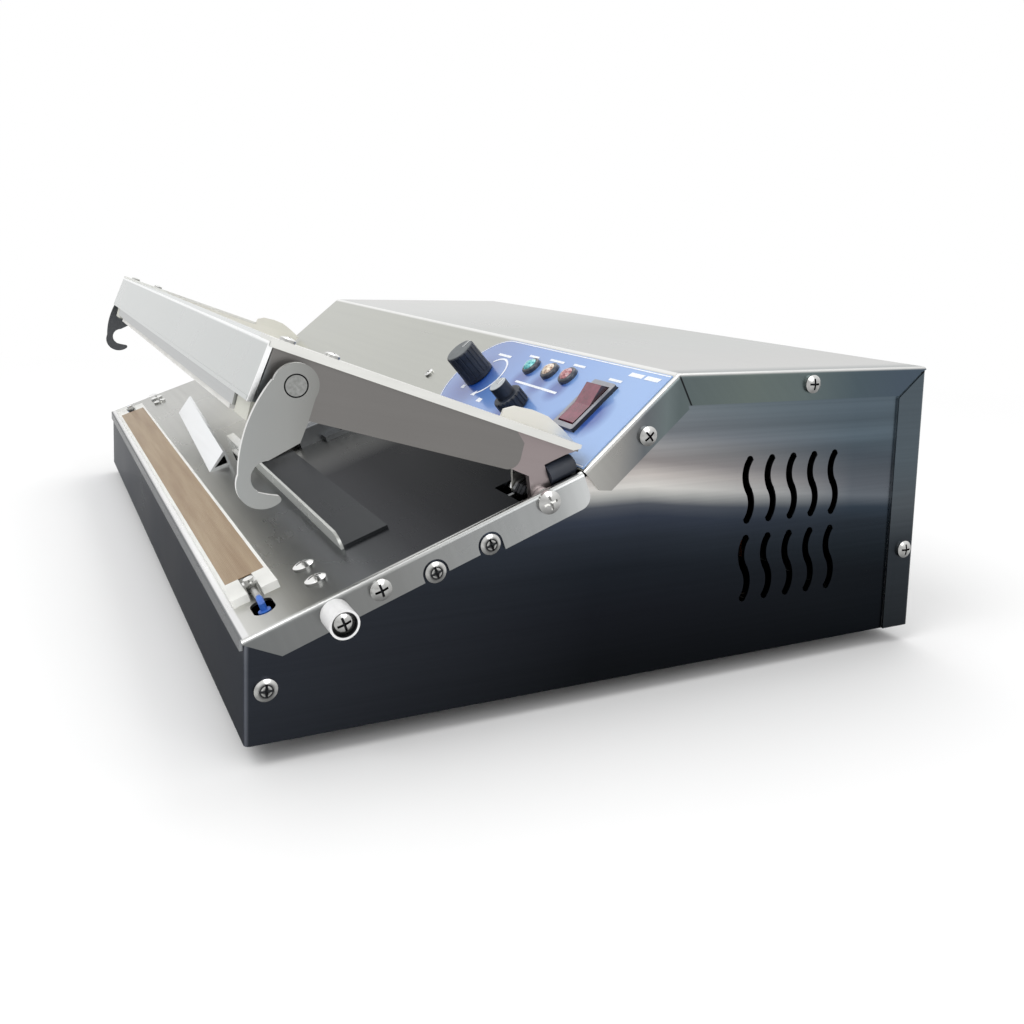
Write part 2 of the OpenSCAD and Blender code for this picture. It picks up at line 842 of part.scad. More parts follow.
// Tension springs that keep the hot band straight, from the terminal to the band's end
module band_springs() {
    long = term_x - term_r - tape_len / 2 - 2 * seat - band_wire_r;
    steps = band_turns * spring_steps;
    path = [for (i = [0 : steps]) let (a = 360 * i / spring_steps)
        [tape_len / 2 + seat + long * i / steps, bar_mid_y + band_coil_r * cos(a), bar_h / 2
            + band_coil_r * sin(a)]];
    color("gray") both_sides() on_work() tube(path, band_wire_r, spring_sides);
}
// Blue insulated crimps that lead from the terminals down through the oval holes
module band_leads() {
    path = [[term_x + term_r + seat, bar_mid_y, bar_h / 2], [bar_len / 2, bar_mid_y, 2 * lead_r],
        [lead_hole_x - crimp_r, bar_mid_y, 2 * lead_r], [lead_hole_x, lead_hole_y, lead_r],
        [lead_hole_x + lead_r / 2, lead_hole_y, -crimp_len]];
    color("royalblue") both_sides() on_work() {
        tube(path, lead_r, spring_sides);
        translate([lead_hole_x + lead_r / 2, lead_hole_y, -sheet_t - crimp_len])
            cylinder(r = crimp_r, h = crimp_len);
    }
}

// Left stop: a sheet folded to a hollow triangle, set at a slight angle
module bag_stop_left() {
    color("gainsboro") on_work() translate([left_stop_end_x, left_stop_y, 0]) rotate([0, 0, -left_stop_a])
        plate_x(-left_stop_len, left_stop_len) difference() {
            polygon([[0, 0], [left_stop_base, 0], [left_stop_base, left_stop_h],
                [left_stop_base - stop_t, left_stop_h]]);
            polygon([[stop_t * stop_front_share, stop_t], [left_stop_base - stop_t, stop_t],
                [left_stop_base - stop_t, left_stop_h - stop_t * stop_top_share]]);
        }
}
// Right stop: an angled sheet with a rounded upright and one round hole
module bag_stop_right() {
    color("silver") on_work() translate([right_stop_x, right_stop_y, 0]) {
        cube([right_stop_len, right_stop_deep, stop_t]);
        translate([0, stop_t, 0]) rotate([90, 0, 0]) linear_extrude(stop_t) difference() {
            union() {
                square([right_stop_len - right_stop_round, right_stop_h]);
                square([right_stop_len, right_stop_h - right_stop_round]);
                intersection() {
                    translate([right_stop_len - right_stop_round, right_stop_h - right_stop_round])
                        circle(r = right_stop_round);
                    square([right_stop_len, right_stop_h]);
                }
            }
            translate([right_stop_hole[0], right_stop_hole[1] + stop_t / 2]) circle(r = right_stop_hole[2]);
        }
    }
}

// White bushes on the case sides that the hooks catch, clamped by a sunk screw
module catch_bushes() {
    color("white") both_sides() on_work() translate([0, catch_at[0], catch_at[1]]) difference() {
        rod_x(half_w, catch_len, catch_r);
        rod_x(half_w - over, catch_len + 2 * over, m4_r + hole_gap);
        rod_x(half_w + catch_len - m4_head_h - seat, catch_len, m4_head_r + seat);
    }
}
module catch_screws() {
    color("silver") both_sides() on_work() translate([0, catch_at[0], catch_at[1]])
        facing_out(half_w + catch_len - m4_head_h - seat) m4_screw(catch_len + short_shank);
}

// Pivot bolts with their nuts and the washers between the case sides and the arm
module pivot_bolts() {
    color("silver") both_sides() at_pivot() {
        facing_out(half_w) screw(bolt_r, bolt_head_r, bolt_head_h, half_w - cheek_x + washer_gap + nut_h);
        translate([cheek_x - washer_gap - nut_h, 0, 0]) rotate([0, 90, 0])
            cylinder(r = nut_r, h = nut_h, $fn = 6);
        difference() {
            rod_x(web_x + washer_gap, in_x - web_x - washer_gap, spacer_r);
            rod_x(web_x, in_x - web_x, bolt_r - run);
        }
    }
}
// Brackets inside the case: a plate for the bolt's inner end and a web with the buffer's tab
module pivot_brackets() {
    web_y = buffer_y + buffer_len;
    color("gray") both_sides() at_pivot() {
        difference() {
            plate_x(bracket_x, bracket_t) {
                translate([-bracket_drop / 2, -bracket_drop])
                    square([web_y + bracket_t + bracket_drop / 2, bracket_drop + pivot_drop - 2 * sheet_t]);
                circle(r = bracket_ear_r);
            }
            rod_x(bracket_x - over, bracket_t + 2 * over, bolt_r + hole_gap);
        }
        translate([bracket_x, web_y, -bracket_drop])
            cube([in_x - bracket_x, bracket_t, bracket_drop + pivot_drop - 2 * sheet_t]);
        translate([buffer_x - tab_half, web_y, 0]) cube([2 * tab_half, bracket_t, pivot_drop + tab_h]);
    }
}
// Rubber buffers that the open arm rests against, pushed over the brackets' tabs
module stop_buffers() {
    long = buffer_len + bracket_t + buffer_end;
    color("black") both_sides() at_pivot() difference() {
        translate([buffer_x, buffer_y, pivot_drop + buffer_rise]) rotate([-90, 0, 0]) rotate_extrude() {
            square([buffer_r - buffer_round, long]);
            square([buffer_r, long - buffer_round]);
            translate([buffer_r - buffer_round, long - buffer_round]) circle(r = buffer_round);
        }
        translate([buffer_x - tab_half - snug, buffer_y + buffer_len - snug, 0])
            cube([2 * tab_half + 2 * snug, bracket_t + 2 * snug, pivot_drop + tab_h + snug]);
    }
}
// Torsion springs on the pivot: one leg on the bracket, the other under the arm's top strap
module lift_springs() {
    x0 = bracket_x + bracket_t + seat + spring_wire_r;
    pitch = (lug_x - seat - spring_wire_r - x0) / spring_turns;
    path = concat(
        [[x0, -2 * spring_coil_r, -spring_coil_r]],
        [for (i = [0 : spring_turns * spring_steps])
            let (a = 360 * i / spring_steps)
            [x0 + pitch * i / spring_steps, -spring_coil_r * sin(a), -spring_coil_r * cos(a)]],
        [[x0 + pitch * spring_turns, 2 * spring_coil_r, -spring_coil_r]]);
    color("darkslategray") both_sides() at_pivot() tube(path, spring_wire_r, spring_sides);
}

// A round tube swept along a list of points, its cross-section carried without twist
function unit(v) = v / norm(v);
function side_of(d) = unit(cross(d, abs(d[0]) > 0.9 ? [0, 0, 1] : [1, 0, 0]));
function carried(dirs, i) = i == 0 ? side_of(dirs[0])
    : let (u = carried(dirs, i - 1)) unit(u - dirs[i] * (u * dirs[i]));
module tube(path, r, sides) {
    n = len(path);
    dirs = [for (i = [0 : n - 1]) unit(path[min(i + 1, n - 1)] - path[max(i - 1, 0)])];
    rings = [for (i = [0 : n - 1]) let (u = carried(dirs, i), v = cross(dirs[i], u))
        for (k = [0 : sides - 1]) path[i] + r * (cos(360 * k / sides) * u + sin(360 * k / sides) * v)];
    walls = [for (i = [0 : n - 2]) for (k = [0 : sides - 1])
        let (a = i * sides + k, b = i * sides + (k + 1) % sides)
        each [[a, b + sides, b], [a, a + sides, b + sides]]];
    first = [for (k = [1 : sides - 2]) [0, k, k + 1]];
    last = [for (k = [1 : sides - 2]) let (m = (n - 1) * sides) [m, m + k + 1, m + k]];
    polyhedron(rings, concat(walls, first, last));
}

// Pilot lamps: one lens in each dark bezel
module lamp_lens(i) {
    r = lamp_r * lens_r_share;
    on_slope() translate([lamp_at[i][0], lamp_at[i][1], lamp_bezel_h / 2]) rotate_extrude() intersection() {
        square([r, lens_h - lamp_bezel_h / 2]);
        translate([0, lens_h - lamp_bezel_h / 2 - lamp_r]) circle(r = lamp_r);
    }
}
module lamp_green() {
    color("mediumseagreen") lamp_lens(0);
}
module lamp_amber() {
    color("darkorange") lamp_lens(1);
}
module lamp_red() {
    color("red") lamp_lens(2);
}
module lamp_bezels() {
    r = lamp_r * lens_r_share + seat / 2;
    color("dimgray") on_slope() for (p = lamp_at) translate(p) {
        difference() {
            rotate_extrude() {
                square([lamp_r, lamp_bezel_h - sheet_t]);
                square([lamp_r - sheet_t, lamp_bezel_h]);
                translate([lamp_r - sheet_t, lamp_bezel_h - sheet_t]) circle(r = sheet_t);
            }
            translate([0, 0, lamp_bezel_h / 2]) cylinder(r = r, h = lamp_bezel_h);
        }
        translate([0, 0, -lamp_body_h]) cylinder(r = lamp_r * lamp_body_share, h = lamp_body_h + sheet_t);
    }
}

// Rocker switch: the housing with its frame, and the rocker on two trunnions
module at_switch() {
    on_slope() translate([switch_at[0], switch_at[1], 0]) children();
}
module switch_housing() {
    color("black") at_switch() difference() {
        union() {
            linear_extrude(switch_frame_h) rounded_square([switch_w, switch_len], switch_body_in);
            translate([0, 0, -switch_body_h]) linear_extrude(switch_body_h + sheet_t)
                square([switch_w - 2 * switch_body_in, switch_len - 2 * switch_body_in], center = true);
        }
        translate([0, 0, -rocker_well]) linear_extrude(2 * rocker_well) square(switch_inner, center = true);
        translate([0, 0, -rocker_drop])
            rod_x(-switch_w / 2 + switch_body_in + seat, switch_w - 2 * switch_body_in - 2 * seat,
                trunnion_r + run);
    }
}
module rocker() {
    r = switch_inner[1] / 2 - rocker_gap / 2;
    wide = switch_inner[0] - 2 * rocker_gap;
    crest = switch_frame_h + rocker_gap + rocker_drop;
    color("firebrick") at_switch() translate([0, 0, -rocker_drop]) rotate([rock_a, 0, 0]) {
        plate_x(-wide / 2, wide) intersection() {
            circle(r = r);
            polygon([[-r, -rocker_root], [r, -rocker_root], [r, crest + r * tan(rock_a)], [0, crest],
                [-r, crest + r * tan(rock_a)]]);
        }
        rod_x(-wide / 2 - trunnion_len, wide + 2 * trunnion_len, trunnion_r);
    }
}

// Knobs and the rotary controls behind the slope
module at_knob(p) {
    on_slope() translate([p[0], p[1], 0]) children();
}
module potentiometers() {
    color("dimgray") for (p = [knob_at, small_knob_at]) at_knob(p) difference() {
        union() {
            translate([0, 0, -sheet_t - pot_h]) cylinder(r = pot_r, h = pot_h);
            translate([0, 0, -sheet_t - pot_h / 2])
                cylinder(r = pot_bush_r, h = pot_h / 2 + sheet_t + pot_bush_h);
            cylinder(r = pot_nut_r, h = pot_nut_h, $fn = 6);
        }
        translate([0, 0, -pot_shaft_deep]) cylinder(r = pot_shaft_r + run, h = 2 * pot_shaft_deep);
    }
}
module pot_shaft(top) {
    translate([0, 0, run - pot_shaft_deep]) cylinder(r = pot_shaft_r, h = pot_shaft_deep + top - run);
}
module knob_skirt_well() {
    translate([0, 0, -over]) cylinder(r = pot_nut_r + seat, h = pot_bush_h + seat + over);
}
module timer_knob() {
    r = knob_r - flute_r / 2;
    color("black") at_knob(knob_at) difference() {
        translate([0, 0, overlay_t + knob_lift]) rotate_extrude() {
            square([knob_r, knob_h * (1 - knob_top_share)]);
            square([r, knob_h - knob_cap_h]);
            square([r - knob_cap_h, knob_h]);
            translate([r - knob_cap_h, knob_h - knob_cap_h]) circle(r = knob_cap_h);
        }
        knob_skirt_well();
        cylinder(r = pot_shaft_r + snug, h = knob_h * knob_top_share - seat);
        for (i = [0 : knob_flutes - 1]) rotate([0, 0, (i + 0.5) * 360 / knob_flutes])
            translate([r + flute_r / 3, 0, knob_h * (1 - knob_top_share) + overlay_t + knob_lift + flute_r])
                cylinder(r = flute_r, h = knob_h);
        translate([-pointer_w / 2, knob_r / 3, knob_h + overlay_t + knob_lift - pointer_w / 4])
            cube([pointer_w, knob_r, knob_r]);
    }
}
module timer_shaft() {
    color("silver") at_knob(knob_at) pot_shaft(knob_h * knob_top_share - 2 * seat);
}
module heat_knob() {
    top_r = small_knob_r * small_top_share;
    step = small_knob_h * small_step_share;
    color("black") at_knob(small_knob_at) difference() {
        translate([0, 0, overlay_t + knob_lift]) {
            rotate_extrude() {
                square([small_knob_r, step - knob_cap_h]);
                square([small_knob_r - knob_cap_h, step]);
                translate([small_knob_r - knob_cap_h, step - knob_cap_h]) circle(r = knob_cap_h);
                square([top_r, small_knob_h - knob_cap_h / 2]);
                square([top_r - knob_cap_h / 2, small_knob_h]);
                translate([top_r - knob_cap_h / 2, small_knob_h - knob_cap_h / 2]) circle(r = knob_cap_h / 2);
            }
        }
        knob_skirt_well();
        cylinder(r = pot_shaft_r + snug, h = small_knob_h * knob_top_share - seat);
        translate([-pointer_w / 2, 0, small_knob_h + overlay_t + knob_lift - pointer_w / 4])
            cube([pointer_w, knob_r, knob_r]);
        for (i = [0 : knob_flutes - 1]) rotate([0, 0, (i + 0.5) * 360 / knob_flutes])
            translate([small_knob_r, 0, overlay_t + knob_lift + flute_r]) cylinder(r = flute_r, h = knob_h);
    }
}
module heat_shaft() {
    color("silver") at_knob(small_knob_at) pot_shaft(small_knob_h * knob_top_share - 2 * seat);
}

// Power inlet in the rear cover: a flange, a well and three pins
module at_inlet() {
    in_case() translate([inlet_at[0], case_d, inlet_at[1]]) rotate([-90, 0, 0]) children();
}
module power_inlet() {
    color("black") at_inlet() difference() {
        union() {
            linear_extrude(inlet_proud) difference() {
                rounded_square(inlet_flange, inlet_corner);
                for (side = [-1, 1]) translate([side * inlet_screw_x, 0]) circle(r = m3_r + hole_gap);
            }
            translate([0, 0, -inlet_deep]) linear_extrude(inlet_deep + inlet_proud / 2)
                rounded_square(inlet_body, inlet_corner);
        }
        translate([0, 0, inlet_proud - inlet_well_deep]) linear_extrude(inlet_well_deep + over)
            rounded_square(inlet_well, inlet_corner / 2);
    }
    color("silver") at_inlet() for (i = [-1 : 1])
        translate([i * pin_pitch - pin_size[0] / 2, (i == 0 ? -1 : 1) * pin_size[0] - pin_size[1] / 2,
            inlet_proud - inlet_well_deep]) cube(pin_size);
}

// Transformer: laminated core with two windows, and the winding round its middle leg
module transformer_core() {
    w = core_size[0];
    h = core_size[2];
    color("gray") in_case() translate([core_at[0], core_at[1] - core_size[1] / 2, sheet_t]) {
        along_y(core_size[1]) difference() {
            translate([-w / 2, 0]) square([w, h]);
            for (side = [-1, 1]) translate([side * w / 4, h / 2]) square([w / 6, h / 2], center = true);
        }
        translate([-w / 2 - core_foot_len, 0, 0]) cube([w + 2 * core_foot_len, core_size[1], core_foot_t]);
    }
}
module transformer_winding() {
    w = core_size[0];
    wind = w * 2 / 3 - 2 * seat;
    deep = core_size[1] + 2 * winding_wide;
    high = core_size[2] / 2 - 2 * seat;
    color("peru") in_case() translate([core_at[0], core_at[1], sheet_t + core_size[2] / 2]) difference() {
        cube([wind, deep, high], center = true);
        cube([w / 3 + 2 * seat, core_size[1] + 2 * seat, 2 * high], center = true);
    }
}

// Vacuum pump with its motor beside it, and the valve that vents the nozzle
module vacuum_pump() {
    color("slategray") in_case() translate([pump_at[0], pump_at[1], sheet_t]) {
        translate([-pump_size[0] / 2, -pump_size[1] / 2, 0]) cube(pump_size);
        translate([0, 0, pump_size[2] / 4]) rod_x(pump_size[0] / 2 - over, pump_port_len + over, pump_port_r);
        for (side = [-1, 1]) translate([0, side * pump_size[1] / 4, pump_size[2] - over])
            cylinder(r = pump_port_r * 2, h = pump_port_r + over);
        translate([0, 0, pump_size[2] / 2]) rod_x(pump_size[0] / 2 - over, pump_port_len + over, pump_port_r);
    }
}
module pump_motor() {
    color("darkslategray") in_case()
        translate([pump_at[0] - pump_size[0] / 2, pump_at[1], sheet_t + motor_r]) {
            rod_x(-motor_len, motor_len, motor_r);
            rod_x(-motor_len - pump_port_r, motor_len, motor_r / 2);
        }
}
module solenoid_valve() {
    color("dimgray") in_case() translate([valve_at[0], valve_at[1], sheet_t]) {
        translate([-valve_size[0] / 2, -valve_size[1] / 2, 0])
            cube([valve_size[0], valve_size[1], valve_base_h]);
        cylinder(r = valve_size[0] / 2 - sheet_t, h = valve_size[2]);
        translate([0, 0, valve_base_h / 2]) rotate([90, 0, 0])
            cylinder(r = pump_port_r, h = valve_size[1] / 2 + pump_port_len);
    }
}
// The board that times vacuum and sealing, on four standoffs
module timer_board() {
    color("seagreen") in_case() translate([board_at[0], board_at[1], sheet_t + board_rise]) {
        translate([-board_size[0] / 2, -board_size[1] / 2, 0]) cube(board_size);
        for (i = [0, 1]) translate([-board_size[0] / 3 + i * relay_pitch, -board_size[1] / 4, board_size[2]])
            cube(relay_size);
        translate([board_size[0] / 8, -board_size[1] / 4, board_size[2]]) cube(chip_size);
        for (side = [-1, 1]) translate([board_size[0] / 3, side * 2 * cap_r, board_size[2]])
            cylinder(r = cap_r, h = cap_h);
    }
}
module board_standoffs() {
    color("goldenrod") in_case() for (x = [-1, 1]) for (y = [-1, 1])
        translate([board_at[0] + x * (board_size[0] / 2 - 2 * standoff_r),
            board_at[1] + y * (board_size[1] / 2 - 2 * standoff_r), sheet_t])
            cylinder(r = standoff_r, h = board_rise);
}
// Silicone hose from the nozzle's barb down to the valve
module vacuum_hose() {
    top = work_point(nozzle_x, barb_y, -sheet_t - barb_len - seat);
    neck = work_point(nozzle_x, barb_y, -sheet_t - barb_len - seat - hose_r);
    down = work_point(nozzle_x, barb_y, -sheet_t - barb_len - hose_r - hose_bend);
    low = [valve_at[0], valve_at[1] - valve_size[1] / 2 - pump_port_len - seat, sheet_t + valve_base_h / 2];
    foot = low - [0, hose_r, 0];
    ctrl = [neck, down, [nozzle_x, board_at[1], hose_level], [low[0], low[1] - hose_bend, hose_level],
        [low[0], low[1] - 2 * hose_bend, low[2]], foot];
    path = concat([top], [for (i = [0 : hose_steps]) curve(ctrl, i / hose_steps)], [low]);
    color("whitesmoke") in_case() tube(path, hose_r, 12);
}
function curve(pts, t) = len(pts) == 1 ? pts[0]
    : curve([for (i = [0 : len(pts) - 2]) pts[i] * (1 - t) + pts[i + 1] * t], t);

// Nozzle guide: a block with a slot, ears for two screws and a hose barb through the plate
module nozzle_guide() {
    w = nozzle_w + 2 * guide_wall;
    h = nozzle_rise + nozzle_h + guide_wall;
    color("gainsboro") on_work() translate([nozzle_x, guide_y, 0]) difference() {
        union() {
            along_y(guide_len) translate([0, h]) rounded_top(w, h, bend_r);
            translate([-w / 2 - guide_ear, guide_len / 4, 0])
                cube([w + 2 * guide_ear, guide_len / 2, guide_ear_h]);
            translate([0, barb_y - guide_y, -sheet_t - barb_len])
                cylinder(r = barb_r, h = barb_len + sheet_t + over);
            for (i = [1, 2]) translate([0, barb_y - guide_y, -sheet_t - barb_len * i / 3])
                cylinder(r1 = barb_r, r2 = barb_r + hole_gap, h = barb_r);
        }
        translate([-nozzle_w / 2 - nozzle_gap, -over, nozzle_rise - nozzle_gap])
            cube([nozzle_w + 2 * nozzle_gap, guide_len - guide_wall + over, nozzle_h + 2 * nozzle_gap]);
        translate([0, barb_y - guide_y, -sheet_t - barb_len - over])
            cylinder(r = barb_r / 2, h = barb_len + sheet_t + nozzle_rise + 2 * over);
        for (side = [-1, 1]) translate([side * (w / 2 + guide_ear / 2), guide_len / 2, -over])
            cylinder(r = m3_r + hole_gap, h = guide_ear_h + 2 * over);
    }
}
// Bent saddle that keeps the nozzle down just behind the bag stops
module nozzle_saddle() {
    color("silver") on_work() translate([saddle_x, saddle_y, 0]) difference() {
        along_y(saddle_deep) translate([0, saddle_h]) rounded_top(saddle_w, saddle_h, saddle_round);
        translate([nozzle_x - saddle_x - nozzle_w / 2 - nozzle_gap, -over, -over])
            cube([nozzle_w + 2 * nozzle_gap, saddle_deep + 2 * over, nozzle_rise + nozzle_h + nozzle_gap
                + over]);
    }
}
module nozzle_tube() {
    color("silver") on_work() translate([nozzle_x, nozzle_y, nozzle_rise]) difference() {
        along_y(nozzle_len) translate([0, nozzle_h / 2]) rounded_square([nozzle_w, nozzle_h], nozzle_round);
        translate([0, -over, 0]) along_y(nozzle_len + 2 * over) translate([0, nozzle_h / 2])
            rounded_square([nozzle_w - 2 * nozzle_t, nozzle_h - 2 * nozzle_t], nozzle_round - nozzle_t);
    }
}

// Press beam: a folded sheet across the machine, its front plate covering the arm's ends
module beam_front() {
    translate(beam_foot) rotate(-beam_lean_a) square([arm_t, beam_front_h]);
}
module beam_flanges() {
    translate(beam_head) rotate(-arm_taper_a) {
        translate([0, -arm_t]) square([beam_top, arm_t]);
        translate([beam_top - arm_t, -beam_lip]) square([arm_t, beam_lip]);
    }
    translate(beam_foot) square([beam_bottom, arm_t]);
}
module arm_screw_holes(extra) {
    both_sides() at_arm_screws() translate([0, 0, -shank]) cylinder(r = m3_r + extra, h = shank + over);
}
module at_arm_screws() {
    for (y = arm_screw_y)
        on_arm() translate([arm_screw_x, y, top_line(y) + strap_t]) rotate([-arm_taper_a, 0, 0]) children();
}
module press_beam() {
    color("gainsboro") difference() {
        on_arm() {
            plate_x(-arm_out, 2 * arm_out) beam_front();
            plate_x(-web_x, 2 * web_x) beam_flanges();
        }
        arm_screw_holes(hole_gap);
    }
}
// Gussets inside the beam that steady the cross shaft
module beam_end_plates() {
    color("gray") both_sides() on_arm() difference() {
        plate_x(gusset_x, arm_t) polygon([
            beam_foot + arm_t * [1 / cos(beam_lean_a) + sin(beam_lean_a), 1],
            [beam_foot[0] + beam_bottom, beam_foot[1] + arm_t],
            [beam_foot[0] + beam_bottom, top_line(beam_foot[0] + beam_bottom) - arm_t / cos(arm_taper_a)],
            [beam_head[0] + arm_t / cos(beam_lean_a), top_line(beam_head[0] + arm_t)
                - arm_t / cos(arm_taper_a)]]);
        translate([gusset_x - over, pin_at[0], pin_at[1]])
            rod_x(0, arm_t + 2 * over, shaft_r + bush_wall + snug);
    }
}
// Side channels of the arm: a web whose lower edge rises to the front, and a top flange
module channel_web() {
    front = beam_foot[0] + (arm_t + seat) / cos(beam_lean_a) + beam_front_h * sin(beam_lean_a);
    low_front = beam_foot[0] + (arm_t + seat) / cos(beam_lean_a);
    difference() {
        union() {
            polygon([[low_front + seat, beam_foot[1]], [web_low_y, beam_foot[1]], [web_low_y, web_low[0]],
                [web_low_end_y, web_low[1]], [web_end_y - web_end_r, web_low[1]],
                    [web_end_y, web_low[1] + web_end_r],
                [web_end_y, top_line(web_end_y) - web_end_r],
                [web_end_y - web_end_r, top_line(web_end_y - web_end_r) - arm_t / 2],
                [web_end_y - web_end_r, top_line(web_end_y - web_end_r)], [front, top_line(front)]]);
            translate([web_end_y - web_end_r, web_low[1] + web_end_r]) circle(r = web_end_r);
        }
        translate(pin_at) circle(r = shaft_r + bush_wall);
    }
}
module arm_channel() {
    front = beam_head[0] + beam_top * cos(arm_taper_a) + seat;
    inner = cheek_x + cheek_t;
    on_arm() {
        plate_x(web_x, arm_t) channel_web();
        plate_x(inner, arm_out - inner) polygon([[front, top_line(front) - arm_t],
            [arm_tail, top_line(arm_tail) - arm_t],
            [arm_tail, top_line(arm_tail)], [front, top_line(front)]]);
    }
}
module arm_channel_right() {
    color("gainsboro") arm_channel();
}
module arm_channel_left() {
    color("gainsboro") mirror([1, 0, 0]) arm_channel();
}
// Lugs that turn on the pivot bolts: a thick outer plate and a cheek with a hump on each side
function open_point(y, z) = [y * cos(open_a) - z * sin(open_a), y * sin(open_a) + z * cos(open_a)];
module outer_lug() {
    over_buffer = pivot_drop + buffer_rise + buffer_r + lug_inset;
    difference() {
        union() {
            polygon([[lug_start, low_line(lug_start) + lug_inset],
                [web_low_end_y, web_low[1] + lug_inset], lug_neck,
                [-lug_rear, 0], [0, -lug_rear], open_point(lug_rear, 0), open_point(lug_rear, over_buffer),
                open_point(lug_rear + buffer_len + lug_inset, over_buffer),
                [arm_tail, top_line(arm_tail) - arm_t], [lug_start, top_line(lug_start) - arm_t]]);
            circle(r = lug_rear);
        }
        circle(r = bolt_r + run);
    }
}
module inner_cheek() {
    front = beam_head[0] + beam_top * cos(arm_taper_a) + seat;
    difference() {
        union() {
            polygon([[front, low_line(front) + 3 * lug_inset], [web_low_end_y, web_low[1] + lug_inset],
                lug_neck,
                [-cheek_boss_r, 0], [0, -cheek_boss_r], open_point(cheek_boss_r, -cheek_boss_r / 3),
                open_point(cheek_rear[0], cheek_rear[1]), open_point(cheek_tip[0], cheek_tip[1]),
                hump[4], hump[3], hump[2], hump[1], hump[0], [hump[0][0] - lug_inset, top_line(hump[0][0])],
                [front, top_line(front)]]);
            circle(r = cheek_boss_r);
        }
        circle(r = bolt_r + run);
    }
}
module pivot_lugs() {
    color("gainsboro") both_sides() on_arm() {
        plate_x(lug_x, lug_t) outer_lug();
        plate_x(cheek_x, cheek_t) inner_cheek();
    }
}
// Cover straps on the arms, each with a short hem down its outer edge
module arm_top_straps() {
    y0 = beam_head[0] + seat;
    x0 = cheek_x + cheek_t + seat;
    x1 = arm_out + seat + strap_t;
    color("white") difference() {
        both_sides() on_arm() {
            plate_x(x0, x1 - x0) polygon([[y0, top_line(y0)], [arm_tail, top_line(arm_tail)],
                [arm_tail, top_line(arm_tail) + strap_t], [y0, top_line(y0) + strap_t]]);
            plate_x(x1 - strap_t, strap_t) polygon([[y0, top_line(y0) + strap_t - strap_hem],
                [arm_tail - strap_hem, top_line(arm_tail - strap_hem) + strap_t - strap_hem],
                [arm_tail, top_line(arm_tail)], [arm_tail, top_line(arm_tail) + strap_t],
                    [y0, top_line(y0) + strap_t]]);
        }
        arm_screw_holes(hole_gap);
    }
}
module arm_screws() {
    color("silver") both_sides() at_arm_screws() m3_screw(short_shank);
}
// Flanged bushes that carry the cross shaft in the webs and the gussets
module shaft_bushes() {
    color("tan") both_sides() on_arm() translate([0, pin_at[0], pin_at[1]]) difference() {
        union() {
            rod_x(web_x - bush_lip - bush_wall, arm_out - web_x + 2 * bush_lip + bush_wall, shaft_r
                + bush_wall);
            rod_x(web_x - bush_wall, bush_wall, shaft_r + bush_flange);
            rod_x(gusset_x - bush_wall, 2 * bush_wall + arm_t, shaft_r + bush_wall);
            rod_x(gusset_x + arm_t, bush_wall, shaft_r + bush_flange);
        }
        rod_x(gusset_x - 2 * bush_wall, half_w - gusset_x + 2 * bush_wall, shaft_r + run);
    }
}
// Channel under the beam that holds the silicone strip, with white blocks at its ends
module press_holder() {
    color("silver") on_arm() translate([0, press_y, beam_foot[1]]) {
        plate_x(-holder_x, 2 * holder_x) difference() {
            translate([-holder_w / 2, -holder_h]) square([holder_w, holder_h]);
            translate([-holder_w / 2 + holder_t, -holder_h - over])
                square([holder_w - 2 * holder_t, holder_h - holder_t + over]);
        }
    }
}
module press_strip() {
    top = beam_foot[1] - holder_t;
    color("lightcoral") on_arm() translate([-tape_len / 2 - over, press_y - strip_w / 2, press_low]) {
        cube([tape_len + 2 * over, strip_w, top - press_low]);
    }
}
module press_end_blocks() {
    color("white") both_sides() on_arm()
        translate([end_block_x - end_block_len, press_y - end_block_w / 2, beam_foot[1] - end_block_h])
            cube([end_block_len, end_block_w, end_block_h]);
}

// Cross shaft of the latch, turned down at its ends, with a collar behind each hook
module latch_shaft() {
    out = hook_x + hook_t;
    color("darkgray") on_arm() translate([0, pin_at[0], pin_at[1]]) {
        rod_x(groove_depth - out, 2 * (out - groove_depth), shaft_r);
        rod_x(-out, 2 * out, shaft_r - groove);
        both_sides() rod_x(arm_out + bush_lip + washer_gap, hook_x - arm_out - bush_lip - washer_gap,
            collar_r);
    }
}
// Catch hook: head, curved back, a throat that opens to the rear, and a round tip
jaw_at = [jaw_y, -hook_len - jaw_drop];
jaw_in = hook_len + catch_r + seat;
function meet(p, ra, rb) = let (d = norm(p), a = (ra * ra - rb * rb + d * d) / (2 * d),
    h = sqrt(ra * ra - a * a))
    a * p / d + h * [-p[1], p[0]] / d;
tip_at = meet(jaw_at, jaw_in + tip_r, jaw_r - tip_r);
module hook_shape() {
    cut = jaw_r;
    difference() {
        union() {
            circle(r = hook_head_r);
            intersection() {
                translate([back_y + back_r, -hook_len * back_z_share]) circle(r = back_r, $fn = 144);
                polygon([[-back_r, 0], [hook_side, 0], [hook_side, -hook_len * hook_side_share], hook_chin,
                    [mouth_y, mouth_z], [mouth_y, jaw_at[1]], [-back_r, jaw_at[1]]]);
            }
            translate(jaw_at) circle(r = jaw_r);
        }
        translate([0, -hook_len]) circle(r = throat_r);
        intersection() {
            circle(r = jaw_in, $fn = 144);
            polygon([[mouth_y, mouth_z], hook_chin, [2 * cut, hook_chin[1]], [2 * cut, -2 * hook_len],
                [mouth_y, -2 * hook_len]]);
        }
        polygon([tip_at, tip_at * (1 - cut / norm(tip_at)), [3 * cut, tip_at[1] + cut],
            [3 * cut, tip_at[1] - cut],
            tip_at + cut * unit(tip_at - jaw_at)]);
    }
    translate(tip_at) circle(r = tip_r);
}
module catch_hook() {
    on_hook() plate_x(hook_x, hook_t) difference() {
        hook_shape();
        circle(r = shaft_r + snug);
    }
}
module hook_right() {
    color("lightgray") catch_hook();
}
